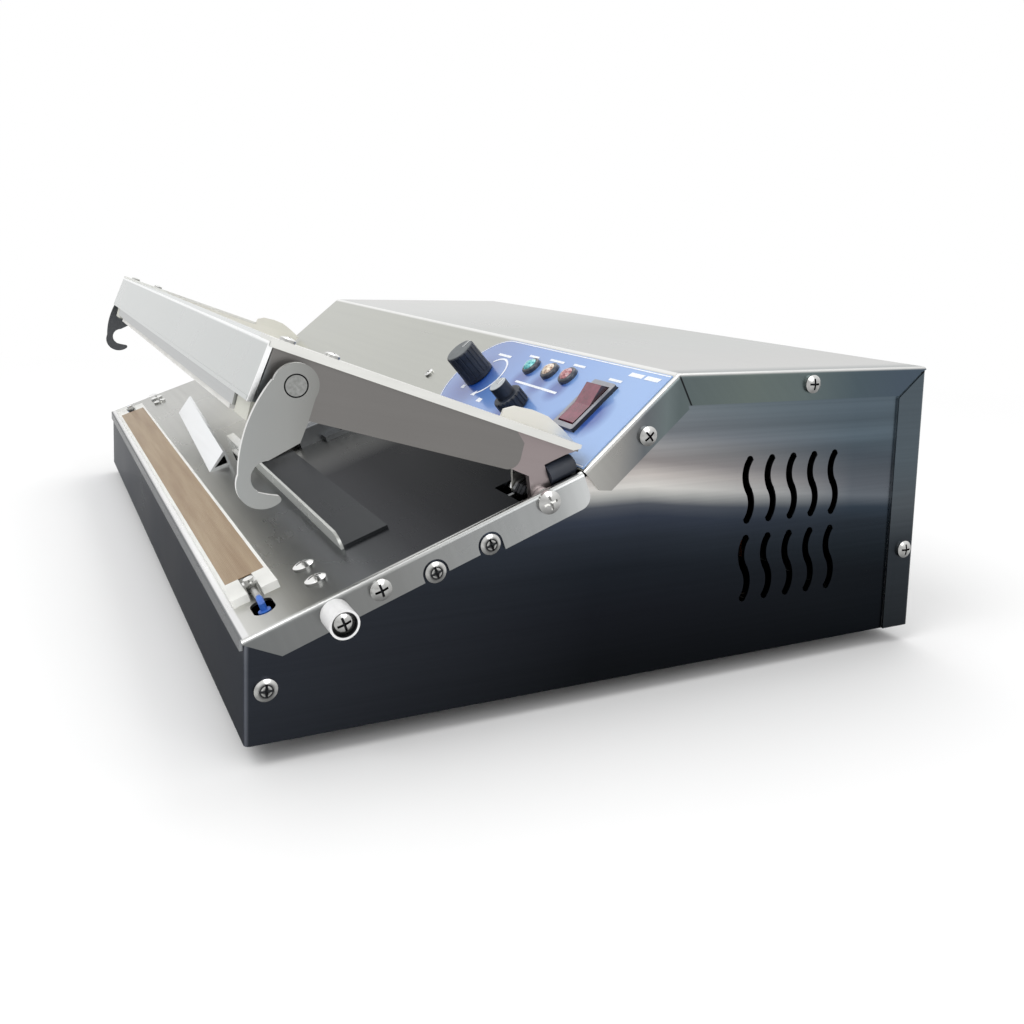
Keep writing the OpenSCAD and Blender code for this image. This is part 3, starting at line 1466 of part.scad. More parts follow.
module hook_left() {
    color("lightgray") mirror([1, 0, 0]) catch_hook();
}

// The parts, drawn together or one at a time
base_tub();
work_plate();
control_cover();
rear_cover();
control_overlay();
rubber_feet();
case_screws();
plate_screws();
small_screws();
seal_bar();
heating_band();
seal_tape();
band_terminals();
band_springs();
band_leads();
bag_stop_left();
bag_stop_right();
catch_bushes();
catch_screws();
pivot_bolts();
pivot_brackets();
stop_buffers();
lift_springs();
lamp_green();
lamp_amber();
lamp_red();
lamp_bezels();
switch_housing();
potentiometers();
power_inlet();
transformer_core();
transformer_winding();
vacuum_pump();
pump_motor();
solenoid_valve();
timer_board();
board_standoffs();
vacuum_hose();
nozzle_guide();
nozzle_saddle();
press_beam();
beam_end_plates();
arm_channel_left();
arm_channel_right();
pivot_lugs();
arm_top_straps();
arm_screws();
shaft_bushes();
press_holder();
press_strip();
press_end_blocks();
latch_shaft();
hook_left();
hook_right();
nozzle_tube();
timer_knob();
timer_shaft();
heat_knob();
heat_shaft();
rocker();
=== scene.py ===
import bpy, bmesh, math
from mathutils import Matrix, Vector


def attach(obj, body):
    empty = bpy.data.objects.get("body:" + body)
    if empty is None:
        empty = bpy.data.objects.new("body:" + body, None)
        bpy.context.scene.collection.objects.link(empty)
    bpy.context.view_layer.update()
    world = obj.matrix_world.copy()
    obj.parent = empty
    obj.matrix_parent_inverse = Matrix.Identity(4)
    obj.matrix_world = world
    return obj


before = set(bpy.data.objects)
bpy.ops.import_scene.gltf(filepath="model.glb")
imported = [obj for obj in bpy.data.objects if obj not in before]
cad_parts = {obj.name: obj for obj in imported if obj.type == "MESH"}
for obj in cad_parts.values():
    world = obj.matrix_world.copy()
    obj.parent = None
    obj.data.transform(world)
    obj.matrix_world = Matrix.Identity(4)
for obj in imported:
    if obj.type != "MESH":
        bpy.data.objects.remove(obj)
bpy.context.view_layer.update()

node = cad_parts

# The camera stands low at the machine's right front corner, where the photographer stood.
# Its place, turn and focal length come from the corners of the case in the photograph.
camera_place = (0.59518, -0.218776, 0.17903)
camera_turn = (61.05, 6.7, 2.18)
focal_px, centre_px, frame_px = 1047.56, (585.55, 372.33), 1024
sensor_mm = 36


def camera(place, turn):
    a, e, r = (math.radians(degrees) for degrees in turn)
    back = Vector((math.sin(a) * math.cos(e), -math.cos(a) * math.cos(e), math.sin(e)))
    right = Vector((0, 0, 1)).cross(back).normalized()
    up = back.cross(right)
    right, up = math.cos(r) * right + math.sin(r) * up, math.cos(r) * up - math.sin(r) * right
    data = bpy.data.cameras.new("camera")
    data.sensor_width = sensor_mm
    data.lens = sensor_mm * focal_px / frame_px
    data.shift_x = 0.5 - centre_px[0] / frame_px
    data.shift_y = centre_px[1] / frame_px - 0.5
    data.clip_start, data.clip_end = 0.01, 50
    made = bpy.data.objects.new("camera", data)
    axes = Matrix((right, up, back)).transposed().to_4x4()
    made.matrix_world = Matrix.Translation(place) @ axes
    bpy.context.scene.collection.objects.link(made)
    return made


bpy.context.scene.camera = camera(camera_place, camera_turn)

# The case tub is one sheet of brushed stainless steel, folded up at the front and the sides.
# Its colour is painted reflection and shade: nearly black low down, darker towards the front, and
# under the covers a bright painted reflection in streaky bands that sinks and dies away to the
# rear. The level brush lines are drawn 1.25 mm wide: the real ones are too fine to show.
tub_grain = (333, 333, 1.25)
tub_front_y = -152.4
side_near = ((12, "#15171A"), (36, "#191B20"), (54, "#1D2127"), (66, "#282D35"), (74, "#333945"),
    (79, "#4F535B"), (82.5, "#A0A19F"), (86, "#CDCBC7"), (91, "#BDB7B3"), (96, "#938E8D"),
    (102, "#8A8A8B"), (108, "#777B80"), (123, "#6A7378"))
side_far = ((12, "#141619"), (50, "#1A1D21"), (60, "#1F2429"), (73, "#292F36"), (80, "#343D47"),
    (85.5, "#62686F"), (91, "#595E65"), (98, "#50565D"), (104, "#4A525A"), (112, "#535F68"),
    (135, "#55616A"))
reflection_bands = ((92, "#BCBCBC"), (96, "#B4B4B4"), (102, "#CACACA"), (108, "#B2B2B2"),
    (114, "#C4C4C4"), (120, "#B6B6B6"))
plain_line = "#BCBCBC"
tub_front = ((8, "#5C5F66"), (34, "#5B5E65"), (45, "#66696F"))
band_drop, drop_run = 15.4, 140.0
cloud_size, cloud_change, shine_change, streak_shine = 91, 0.03, 0.03, 0.004


# An sRGB hex colour as the linear colour that a socket takes.
def rgb(code):
    parts = [int(code[i:i + 2], 16) / 255 for i in (1, 3, 5)]
    return tuple(c / 12.92 if c <= 0.04045 else ((c + 0.055) / 1.055) ** 2.4 for c in parts) + (1,)


# Adds one node. What is given in order goes to its open sockets, and a capitalised name to the
# socket of that name. A small name is one of its settings.
def add(tree, kind, *given, out=None, **named):
    made = tree.nodes.new("ShaderNode" + kind)
    for key, value in named.items():
        if key[0].islower():
            setattr(made, key, value)
    filled = list(zip([socket for socket in made.inputs if socket.enabled], given))
    filled += [(made.inputs[key.replace("_", " ")], value) for key, value in named.items()
        if key[0].isupper()]
    for socket, value in filled:
        if isinstance(value, bpy.types.NodeSocket):
            tree.links.new(value, socket)
        else:
            socket.default_value = rgb(value) if isinstance(value, str) else value
    return made.outputs[out] if out else next((s for s in made.outputs if s.enabled), None)


# A new material, and the place on its piece in millimetres.
def blank(name):
    made = bpy.data.materials.new(name)
    made.use_nodes = True
    tree = made.node_tree
    tree.nodes.clear()
    metres = add(tree, "TexCoord", out="Object")
    return made, tree, add(tree, "VectorMath", metres, Scale=1000.0, operation="SCALE")


def finish(made, tree, **sockets):
    add(tree, "OutputMaterial", add(tree, "BsdfPrincipled", **sockets))
    return made


# A noise pattern lies mostly between these two values. It is turned to a number that wanders
# from low to high.
noise_low, noise_high = 0.3, 0.7


def patchy(tree, noise, low, high):
    return add(tree, "MapRange", noise, noise_low, noise_high, low, high)


# Colours that blend from one named place to the next along a measure.
def toned(tree, along, *stops):
    low, high = stops[0][0], stops[-1][0]
    colour = add(tree, "ValToRGB", add(tree, "MapRange", along, low, high))
    band = colour.node.color_ramp.elements
    band[0].color, band[1].color = rgb(stops[0][1]), rgb(stops[-1][1])
    for place, code in stops[1:-1]:
        band.new((place - low) / (high - low)).color = rgb(code)
    return colour


# Brushed or rolled sheet. The grain is the size of its streaks in x, y and z once the sheet is
# turned level by its tilt. Paint gives its colour, and metal how bare it is, from the place.
def steel(name, paint, grain, tilt=0.0, rough=0.3, contrast=0.06, edge=1.0, metal=None):
    made, tree, place = blank(name)
    level = add(tree, "Mapping", place, Rotation=(-math.radians(tilt), 0, 0))
    stretched = add(tree, "Mapping", level, Scale=tuple(1 / size for size in grain))
    streak = add(tree, "TexNoise", stretched, Scale=1.0, Detail=2.0, Roughness=0.5)
    cloud = add(tree, "TexNoise", place, Scale=1 / cloud_size, Detail=3.0)
    x, y, z = (add(tree, "SeparateXYZ", place, out=axis) for axis in "XYZ")
    at = {"x": x, "y": y, "z": z, "place": place, "cloud": cloud,
        "side": add(tree, "Math", x, operation="ABSOLUTE"),
        "along": add(tree, "SeparateXYZ", level, out="Y")}
    light = add(tree, "Math", patchy(tree, streak, -contrast, contrast),
        patchy(tree, cloud, 1 - cloud_change, 1 + cloud_change), operation="ADD")
    colour = add(tree, "VectorMath", paint(tree, at), light, operation="SCALE")
    shine = add(tree, "Math", patchy(tree, cloud, rough - shine_change, rough + shine_change),
        patchy(tree, streak, -streak_shine, streak_shine), operation="ADD")
    return finish(made, tree, Base_Color=colour, Metallic=metal(tree, at) if metal else 1.0,
        Roughness=shine, Specular_Tint=(edge, edge, edge, 1))


def dress(material, *names):
    for name in names:
        slots = node[name].data.materials
        slots.clear()
        slots.append(material)


def tub_paint(tree, at):
    uneven = patchy(tree, at["cloud"], -1.2, 1.2)
    level = add(tree, "Math", at["z"], uneven, operation="ADD")
    drop = add(tree, "MapRange", at["y"], 0.0, drop_run, 0.0, band_drop)
    sunk = add(tree, "Math", level, drop, operation="ADD")
    # Painted reflection and shade on the sides, by height, sinking towards the rear.
    near, far = toned(tree, sunk, *side_near), toned(tree, sunk, *side_far)
    rear = add(tree, "MapRange", at["y"], 5.0, 112.0)
    sides = add(tree, "Mix", rear, near, far, data_type="RGBA")
    # Painted reflection: streaky bands across the bright band.
    sides = add(tree, "VectorMath", sides, toned(tree, level, *reflection_bands), operation="MULTIPLY")
    sides = add(tree, "VectorMath", sides, Scale=1 / rgb(plain_line)[0], operation="SCALE")
    # Painted shade: the sides darken towards the front.
    front_shade = add(tree, "MapRange", at["y"], -150.0, -20.0, 0.9, 0.0)
    sides = add(tree, "Mix", front_shade, sides, "#2D3036", data_type="RGBA")
    # Painted reflection and shade on the front wall, by height and lighter towards the left.
    front = toned(tree, level, *tub_front)
    left = add(tree, "MapRange", at["x"], -250.0, 50.0, 0.8, 0.0)
    front = add(tree, "Mix", left, front, "#8A8E96", data_type="RGBA")
    ahead = add(tree, "MapRange", at["y"], tub_front_y, tub_front_y + 1.0, 1.0, 0.0)
    return add(tree, "Mix", ahead, sides, front, data_type="RGBA")


dress(steel("dark brushed stainless of the tub", tub_paint, tub_grain, 0.0, 0.3, 0.05, 0.25),
    "base_tub")

# The rubber feet are moulded black rings, each with its screw sunk from below. The arm's two
# buffers are the same rubber, pushed over steel tabs. A fine speck keeps the skin matt.
fine_speck, soft_speck, rubber_cloud = 0.556, 0.833, 16.7


# A colour that wanders with a noise pattern from dark to light.
def mottled(tree, noise, dark, light):
    return toned(tree, noise, (noise_low, dark), (noise_high, light))


# The depth of a bump is in metres, here and below.
def rubber(name, dark, light, speck):
    made, tree, place = blank(name)
    skin = add(tree, "TexNoise", place, Scale=1 / speck, Detail=3.0)
    cloud = add(tree, "TexNoise", place, Scale=1 / rubber_cloud, Detail=2.0)
    height = add(tree, "Bump", Height=skin, Strength=0.12, Distance=0.0003)
    return finish(made, tree, Base_Color=mottled(tree, cloud, dark, light),
        Roughness=0.5, Normal=height)


dress(rubber("black rubber", "#191D26", "#272D38", fine_speck), "rubber_feet", "stop_buffers")

# The work plate lies on the tub's sides at a slope, folded down over them. It is brushed from
# side to side. It is painted pale at the front and the left and dark towards the rear as painted
# reflection and shade, and its folds carry a painted highlight. Its brush lines are drawn about
# 3 mm wide, so that they show.
work_tilt = math.degrees(math.atan2(48, 126))
work_base = Vector((0, -152.806, 46))
work_start = (Matrix.Rotation(math.radians(-work_tilt), 3, "X") @ work_base).y
plate_grain = (333, 2.86, 333)
plate_front_y = -152.9
bend_edge, flange_edge = (247.4, 248.2), (249.3, 249.85)
painted_light_left = (120.0, -80.0)
fold_line, fold_reach = 0.6, (0.9, 1.4)
margin_edge, margin_end, margin_metal = (9.0, 14.0), (140.0, 220.0), 0.5
plate_shade = ((0, "#E8E8E4"), (12, "#CACAC6"), (22, "#B6B6B2"), (38, "#8E9092"), (50, "#5C5E60"),
    (65, "#424346"), (85, "#2A2B2E"), (110, "#17191C"), (135, "#1A1C1E"))
plate_side = ((0, "#6C6E6E"), (50, "#7A7B7A"), (100, "#939595"), (120, "#9C9E9E"),
    (134, "#C6C8C8"))


# How far a measure is from a value, either way.
def apart(tree, measure, value):
    off = add(tree, "Math", measure, value, operation="SUBTRACT")
    return add(tree, "Math", off, operation="ABSOLUTE")


# A sheet with two side flanges. Its bends carry a painted highlight, its flanges a painted tone.
def flanged(tree, at, top, side, bend):
    near_bend = add(tree, "MapRange", at["side"], *bend_edge)
    painted_highlight = add(tree, "Mix", near_bend, top, bend, data_type="RGBA")
    on_flange = add(tree, "MapRange", at["side"], *flange_edge)
    return add(tree, "Mix", on_flange, painted_highlight, side, data_type="RGBA")


def from_front(tree, at):
    return add(tree, "Math", at["along"], work_start, operation="SUBTRACT")


def front_flange(tree, at):
    return add(tree, "MapRange", at["y"], plate_front_y, plate_front_y + 0.6, 1.0, 0.0)


def plate_paint(tree, at):
    t = from_front(tree, at)
    # Painted reflection and shade: pale at the front and the left, dark towards the rear.
    left = add(tree, "MapRange", at["x"], *painted_light_left)
    top = add(tree, "Mix", left, toned(tree, t, *plate_shade), "#F4F4F0", data_type="RGBA")
    # Painted shade: the front flange is darker.
    top = add(tree, "Mix", front_flange(tree, at), top, "#8A8C8E", data_type="RGBA")
    # Painted highlight along the fold at the front.
    fold = add(tree, "MapRange", apart(tree, t, fold_line), *fold_reach, 1.0, 0.0)
    top = add(tree, "Mix", fold, top, "#FFFFFF", data_type="RGBA")
    # Painted reflection and shade on the side flanges, lighter towards the rear.
    return flanged(tree, at, top, toned(tree, t, *plate_side), "#D5D6D4")


# The margin in front of the seal bar is hazed, except at its right end.
def plate_metal(tree, at):
    margin = add(tree, "MapRange", from_front(tree, at), *margin_edge, margin_metal, 1.0)
    right = add(tree, "MapRange", at["x"], *margin_end)
    bare = add(tree, "Math", right, front_flange(tree, at), operation="MAXIMUM")
    return add(tree, "Math", margin, bare, operation="MAXIMUM")


dress(steel("satin stainless of the work plate", plate_paint, plate_grain, work_tilt, 0.27, 0.03,
    0.55, plate_metal), "work_plate")

# The control cover is the slope with the roof behind it, folded from one stainless sheet. The roof
# is painted darker towards the right as painted reflection, the side flanges darker as painted
# shade with a thin painted shadow in the seam where they meet, and the fold across the machine
# and the bends carry a painted highlight. The brush lines are drawn as wide as the work plate's,
# so that they show.
slope_tilt = math.degrees(math.atan2(37, 42))
cover_grain = (333, 2.86, 333)
cover_fold_y, cover_fold_reach = 15.2, (0.6, 1.6)
seam_across, seam_through = Vector((0, 0.8884, 0.4591)), Vector((0, 15.59, 129.7))
seam_reach, seam_above = (0.3, 0.5), (117.2, 117.6)
roof_stops = ((-250, "#C2C2C0"), (-100, "#BFC0BE"), (50, "#B1B3B0"), (137, "#B4B6B4"),
    (205, "#B8B8B6"), (236, "#BBBBB9"), (246, "#8A8F8F"))
cover_side = ((-24, "#A4A39F"), (-12, "#92918E"), (0, "#63676B"), (10, "#697374"),
    (16, "#5B6566"), (50, "#636D6A"), (80, "#5F6A6A"), (110, "#4C5960"), (137, "#485460"))


def cover_paint(tree, at):
    behind = add(tree, "MapRange", at["y"], cover_fold_y - 0.4, cover_fold_y + 0.6)
    # Painted reflection: the roof is darker towards the right.
    roof = toned(tree, at["x"], *roof_stops)
    top = add(tree, "Mix", behind, "#B8B9B2", roof, data_type="RGBA")
    # Painted highlight along the fold across the machine.
    fold = apart(tree, at["y"], cover_fold_y)
    fold = add(tree, "MapRange", fold, *cover_fold_reach, 1.0, 0.0)
    top = add(tree, "Mix", fold, top, "#F0F0EE", data_type="RGBA")
    # Painted shadow in the seam of the side flanges.
    reach = add(tree, "VectorMath", at["place"], seam_across, operation="DOT_PRODUCT")
    off = apart(tree, reach, seam_across.dot(seam_through))
    seam = add(tree, "MapRange", off, *seam_reach, 1.0, 0.0)
    high = add(tree, "MapRange", at["z"], *seam_above)
    seam = add(tree, "Math", seam, high, operation="MULTIPLY")
    # Painted shade on the side flanges, and a painted highlight on the bends.
    side = add(tree, "Mix", seam, toned(tree, at["y"], *cover_side), "#222426", data_type="RGBA")
    return flanged(tree, at, top, side, "#DCDCDA")


dress(steel("satin stainless of the control cover", cover_paint, cover_grain, slope_tilt, 0.3,
    0.02), "control_cover")

# The rear cover closes the back with the same stainless sheet. Its flanges lie over the tub's
# sides and are held by screws. It is brushed level, in lines drawn 1.4 mm wide.
rear_grain = (333, 333, 1.43)
roof_z = 131.0


def rear_paint(tree, at):
    # Painted reflection and shade: the flanges are dark low down and paler higher up, the back is
    # paler towards the top, and the bends carry a painted highlight.
    side = toned(tree, at["z"], (8, "#1C2024"), (48, "#2A2F34"), (68, "#4B5156"), (88, "#4E585F"),
        (roof_z, "#4E585F"))
    up = add(tree, "MapRange", at["z"], 0.0, roof_z)
    back = add(tree, "Mix", up, "#6F7173", "#8A8C8B", data_type="RGBA")
    return flanged(tree, at, back, side, "#9A9D9E")


dress(steel("satin stainless of the rear cover", rear_paint, rear_grain, 0.0, 0.32, 0.05),
    "rear_cover")

# The overlay is a printed polyester film glued to the slope: glossy blue, painted paler to the
# right as painted reflection, and with painted shadows in deeper blue round the knobs, the lamps
# and the rocker. A fine pattern of dots lies under the varnish. Each painted shadow is given by
# its place along and up the slope and its reach.
slope_base = Vector((0, -26.806, 94))
slope_turn = Matrix.Rotation(math.radians(slope_tilt), 3, "X")
dot_size, film_cloud = 0.385, 71.4
film_blues = ((80, "#4F71B2"), (120, "#5F86C6"), (180, "#749AD4"), (240, "#86A8DA"))
shadow_spots = ((98, 22, 21), (158, 12, 15), (206, 14, 15), (222, 24, 13), (140, 32.5, 9),
    (159, 32.5, 9), (178, 32.5, 9))


def on_slope(x, t, h=0.0):
    return slope_base + slope_turn @ Vector((x, t, h))


def film():
    made, tree, place = blank("blue printed film")
    cloud = add(tree, "TexNoise", place, Scale=1 / film_cloud, Detail=1.0)
    dots = add(tree, "TexVoronoi", place, Scale=1 / dot_size)
    uneven = add(tree, "MapRange", cloud, 0.35, 0.65, -12.0, 12.0)
    drift = add(tree, "Math", add(tree, "SeparateXYZ", place, out="X"), uneven, operation="ADD")
    # Painted reflection: the blue grows paler to the right.
    colour = toned(tree, drift, *film_blues)
    # Painted shadows: deeper blue round each spot.
    for x, t, reach in shadow_spots:
        away = add(tree, "VectorMath", place, on_slope(x, t), operation="DISTANCE")
        near = add(tree, "MapRange", away, 0.4 * reach, reach, 0.9, 0.0)
        colour = add(tree, "Mix", near, colour, "#0A4098", data_type="RGBA")
    height = add(tree, "Bump", Height=dots, Strength=0.04, Distance=0.0002)
    return finish(made, tree, Base_Color=colour, Roughness=0.3, Coat_Weight=1.0,
        Coat_Roughness=0.12, Normal=height)


dress(film(), "control_overlay")

# White screen print on the film: a turning arrow round the timer knob, bars in the places of
# the legends, and a thin line round the film's edge. All sizes are along and up the slope, and
# the ink lies just above the film.
ink_level = 0.47
arrow_centre, arrow_radius, arrow_width = (107, 28), 12.2, 1.2
arrow_from, arrow_to = -62, 132
head_radius, head_length, head_half = 12.85, 4.2, 2
legends = ((96.2, 42.4, 15, 1.5), (92.6, 16.8, 3.4, 2.2), (120.6, 12.4, 4.8, 2.4),
    (127.4, 46.2, 10.4, 1.3), (149, 46.8, 14.4, 1.3), (172.4, 47.2, 11, 1.3),
    (209, 44.2, 10.6, 1.4), (138, 29.6, 43, 1.3))
slanted_places, slanted_shape = (219.4, 231.8), (48.9, 10.6, 2.2, 0.9)
round_end, half_film = (98.2, 27.48), 26.48
edge_line, edge_length, edge_places = 0.6, 149, (1.4, 52.96)
ink_grain = 1.11


def screen_print():
    mesh = bmesh.new()

    def patch(points):
        mesh.faces.new([mesh.verts.new(on_slope(x, t, ink_level) / 1000) for x, t in points])

    def ring(centre, radius, width, start, end, steps):
        rows = []
        for i in range(steps + 1):
            a = math.radians(start + (end - start) * i / steps)
            rows.append([mesh.verts.new(on_slope(centre[0] + r * math.cos(a),
                centre[1] + r * math.sin(a), ink_level) / 1000) for r in (radius, radius + width)])
        for (a, b), (c, d) in zip(rows, rows[1:]):
            mesh.faces.new((a, b, d, c))

    def bar(x, t, length, tall, lean=0.0):
        patch([(x, t), (x + length, t), (x + length + lean, t + tall), (x + lean, t + tall)])

    ring(arrow_centre, arrow_radius, arrow_width, arrow_from, arrow_to, 54)
    a = math.radians(arrow_from)
    outward, ahead = Vector((math.cos(a), math.sin(a))), Vector((math.sin(a), -math.cos(a)))
    head = Vector(arrow_centre) + head_radius * outward
    patch([head + ahead * head_length, head - outward * head_half, head + outward * head_half])
    for x, t, length, tall in legends:
        bar(x, t, length, tall)
    for x in slanted_places:
        bar(x, *slanted_shape)
    ring(round_end, half_film - 1.0, edge_line, 90, 270, 60)
    for t in edge_places:
        bar(round_end[0], t, edge_length, edge_line)
    data = bpy.data.meshes.new("screen_print")
    mesh.normal_update()
    mesh.to_mesh(data)
    mesh.free()
    made = bpy.data.objects.new("screen_print", data)
    bpy.context.scene.collection.objects.link(made)
    return made


def ink():
    made, tree, place = blank("white screen ink")
    thin = add(tree, "TexNoise", place, Scale=1 / ink_grain, Detail=2.0)
    colour = toned(tree, thin, (0.3, "#D5DDEC"), (0.6, "#F2F4F7"))
    return finish(made, tree, Base_Color=colour, Roughness=0.35)


print_marks = screen_print()
print_marks.data.materials.append(ink())
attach(print_marks, "case")

# The screws, bolts and terminal posts are nickel plated steel, most with a pan head and a cross.
# Each head is painted bright on top as a painted highlight and dark below as painted shade. On
# the sides the recess of the cross and the wall of the head are in shadow.
side_heads_from = 250.9
side_floors, floor_reach = (251.2, 260.5), (0.2, 0.25)
small_spots, large_spots = 2.38, 4.17
deep_shadow = "#1E1F21"


# Facing is 1 where the surface looks sideways and 0 on a wall. Walls are dark from the line on
# outward. Further in, what looks sideways is a floor of the heads in the notches. The floors of
# the others are at the two places.
def side_shadow(tree, place):
    across = add(tree, "SeparateXYZ", add(tree, "TexCoord", out="Normal"), out="X")
    facing = add(tree, "Math", across, operation="ABSOLUTE")
    out = add(tree, "Math", add(tree, "SeparateXYZ", place, out="X"), operation="ABSOLUTE")
    outside = add(tree, "MapRange", out, side_heads_from, side_heads_from + 0.1)
    wall = add(tree, "Math", add(tree, "MapRange", facing, 0.3, 0.4, 1.0, 0.0), outside,
        operation="MULTIPLY")
    inside = add(tree, "MapRange", out, side_heads_from, side_heads_from + 0.1, 1.0, 0.0)
    deep = add(tree, "Math", add(tree, "MapRange", facing, 0.9, 0.95), inside,
        operation="MULTIPLY")
    shadow = add(tree, "Math", wall, deep, operation="MAXIMUM")
    flat = add(tree, "MapRange", facing, 0.97, 0.985)
    for floor in side_floors:
        close = add(tree, "MapRange", apart(tree, out, floor), *floor_reach, 1.0, 0.0)
        close = add(tree, "Math", flat, close, operation="MULTIPLY")
        shadow = add(tree, "Math", shadow, close, operation="MAXIMUM")
    return shadow


def plated(name, dark, light, rough, spots=large_spots, underside_shade=None, shadow=None):
    made, tree, place = blank(name)
    cloud = add(tree, "TexNoise", place, Scale=1 / spots, Detail=2.0)
    colour = mottled(tree, cloud, dark, light)
    # Painted highlight where a head faces up, painted shade where it faces down.
    if underside_shade:
        rise = add(tree, "SeparateXYZ", add(tree, "TexCoord", out="Normal"), out="Z")
        below = add(tree, "MapRange", rise, -0.75, -0.05, 1.0, 0.0)
        colour = add(tree, "Mix", below, colour, underside_shade, data_type="RGBA")
        above = add(tree, "MapRange", rise, 0.15, 0.7)
        colour = add(tree, "Mix", above, colour, "#F0F0EE", data_type="RGBA")
    if shadow:
        colour = add(tree, "Mix", shadow(tree, place), colour, deep_shadow, data_type="RGBA")
    shine = patchy(tree, cloud, rough - 0.03, rough + 0.04)
    return finish(made, tree, Base_Color=colour, Metallic=1.0, Roughness=shine)


dress(plated("nickel plated side screw", "#9C9C9A", "#B8B8B6", 0.16, small_spots, "#2E2F31",
    side_shadow), "case_screws", "catch_screws")
dress(plated("nickel plated screw", "#A6A6A4", "#BEBEBC", 0.18, underside_shade="#2E2F31"),
    "plate_screws", "small_screws", "arm_screws", "pivot_bolts", "band_terminals")

# The seal bar is cut from white insulating board and lies along the plate's front margin. The
# press holder's end blocks are a cream board of the same kind. Their sawn faces are slightly
# rough.
board_cloud, board_grain = 22.2, 0.667


def board(name, dark, light):
    made, tree, place = blank(name)
    cloud = add(tree, "TexNoise", place, Scale=1 / board_cloud, Detail=5.0)
    fine = add(tree, "TexNoise", place, Scale=1 / board_grain, Detail=2.0)
    height = add(tree, "Bump", Height=fine, Strength=0.1, Distance=0.0002)
    return finish(made, tree, Base_Color=mottled(tree, cloud, dark, light),
        Roughness=0.5, Normal=height)


dress(board("white insulating board", "#DEDEDA", "#F0F0EC"), "seal_bar")
dress(board("cream insulating block", "#B9B9AF", "#C6C6BC"), "press_end_blocks")

# The hot band is a flat nichrome strip in a groove along the bar, under a strip of brown coated
# glass cloth, which the heat has toned in long streaks. The cloth's threads are drawn a little
# coarser than real ones. Wire springs keep the band tight, and coiled ones lift the arm.
cloth_streaks = (111, 5, 5)
# At a scale of 1 a wave pattern repeats every tau / 20.
thread, wave_period = 0.561, math.tau / 20


def glass_cloth():
    made, tree, place = blank("brown coated glass cloth")
    level = add(tree, "Mapping", place, Rotation=(-math.radians(work_tilt), 0, 0))
    stretched = add(tree, "Mapping", level, Scale=tuple(1 / size for size in cloth_streaks))
    streak = add(tree, "TexNoise", stretched, Scale=1.0, Detail=5.0, Roughness=0.6)
    warp, weft = (add(tree, "TexWave", level, Scale=wave_period / thread, Distortion=0.4,
        bands_direction=way, out="Fac") for way in "XY")
    weave = add(tree, "Math", warp, weft, operation="MULTIPLY")
    tone = add(tree, "Math", streak, add(tree, "MapRange", weave, 0.0, 1.0, -0.05, 0.05),
        operation="ADD")
    colour = toned(tree, tone, (0.25, "#866C50"), (0.5, "#9A8468"), (0.75, "#AA967B"))
    height = add(tree, "Bump", Height=weave, Strength=0.25, Distance=0.0002)
    return finish(made, tree, Base_Color=colour, Roughness=0.42, Normal=height)


dress(glass_cloth(), "seal_tape")
dress(plated("flat heating band", "#6F6A64", "#8E8880", 0.3), "heating_band")
# The spring wire is painted nearly black, as painted shade where the springs sit.
dress(plated("spring wire", "#28292C", "#3E3F42", 0.3), "band_springs", "lift_springs")

# The band leads are tinned copper wire. Each runs from its terminal into a blue insulated crimp
# in the oval hole at the plate's side.
crimp_from, crimp_cloud = 226.2, 3.33


def crimped():
    made, tree, place = blank("blue crimp on tinned wire")
    cloud = add(tree, "TexNoise", place, Scale=1 / crimp_cloud, Detail=2.0)
    side = add(tree, "Math", add(tree, "SeparateXYZ", place, out="X"), operation="ABSOLUTE")
    sleeve = add(tree, "MapRange", side, crimp_from, crimp_from + 0.4)
    wire = mottled(tree, cloud, "#B0B0AE", "#D2D2D0")
    blue = mottled(tree, cloud, "#2452A4", "#3E74CE")
    colour = add(tree, "Mix", sleeve, wire, blue, data_type="RGBA")
    return finish(made, tree, Base_Color=colour, Roughness=0.32,
        Metallic=add(tree, "MapRange", sleeve, 0.0, 1.0, 1.0, 0.0))


dress(crimped(), "band_leads")

# The bag stops are folded from stainless strip. The left one is a polished triangle, and the
# right one an angle with a hazed pale upright over a darker flat. The nozzle and its
# saddle are polished. Their guide, the arm's brackets and the beam's end plates are zinc plated.
left_grain = (200, 2.5, 200)
right_grain = (333, 2.86, 333)
flat_start = work_start + 46.4
nozzle_spots, zinc_spots = 16.7, 25


def bright_paint(tree, at):
    right = add(tree, "MapRange", at["x"], -150.0, 30.0)
    return add(tree, "Mix", right, "#E9EBEC", "#EFF1F3", data_type="RGBA")


def stop_paint(tree, at):
    flat = add(tree, "MapRange", at["along"], flat_start, flat_start + 0.4)
    right = add(tree, "MapRange", at["x"], 100.0, 200.0)
    darker_flat = add(tree, "Mix", right, "#45474A", "#505254", data_type="RGBA")
    return add(tree, "Mix", flat, "#DADCD8", darker_flat, data_type="RGBA")


def stop_metal(tree, at):
    return add(tree, "MapRange", at["along"], flat_start, flat_start + 0.4, 0.4, 1.0)


dress(steel("polished stainless strip", bright_paint, left_grain, work_tilt, 0.2, 0.02),
    "bag_stop_left")
dress(steel("satin stainless strip", stop_paint, right_grain, work_tilt, 0.27, 0.03, 0.55,
    stop_metal), "bag_stop_right")
dress(plated("polished nozzle steel", "#C8C8C6", "#E6E6E4", 0.14, nozzle_spots),
    "nozzle_tube", "nozzle_saddle")
dress(plated("zinc plated steel", "#6A6C6E", "#7E8082", 0.34, zinc_spots),
    "nozzle_guide", "pivot_brackets", "beam_end_plates")

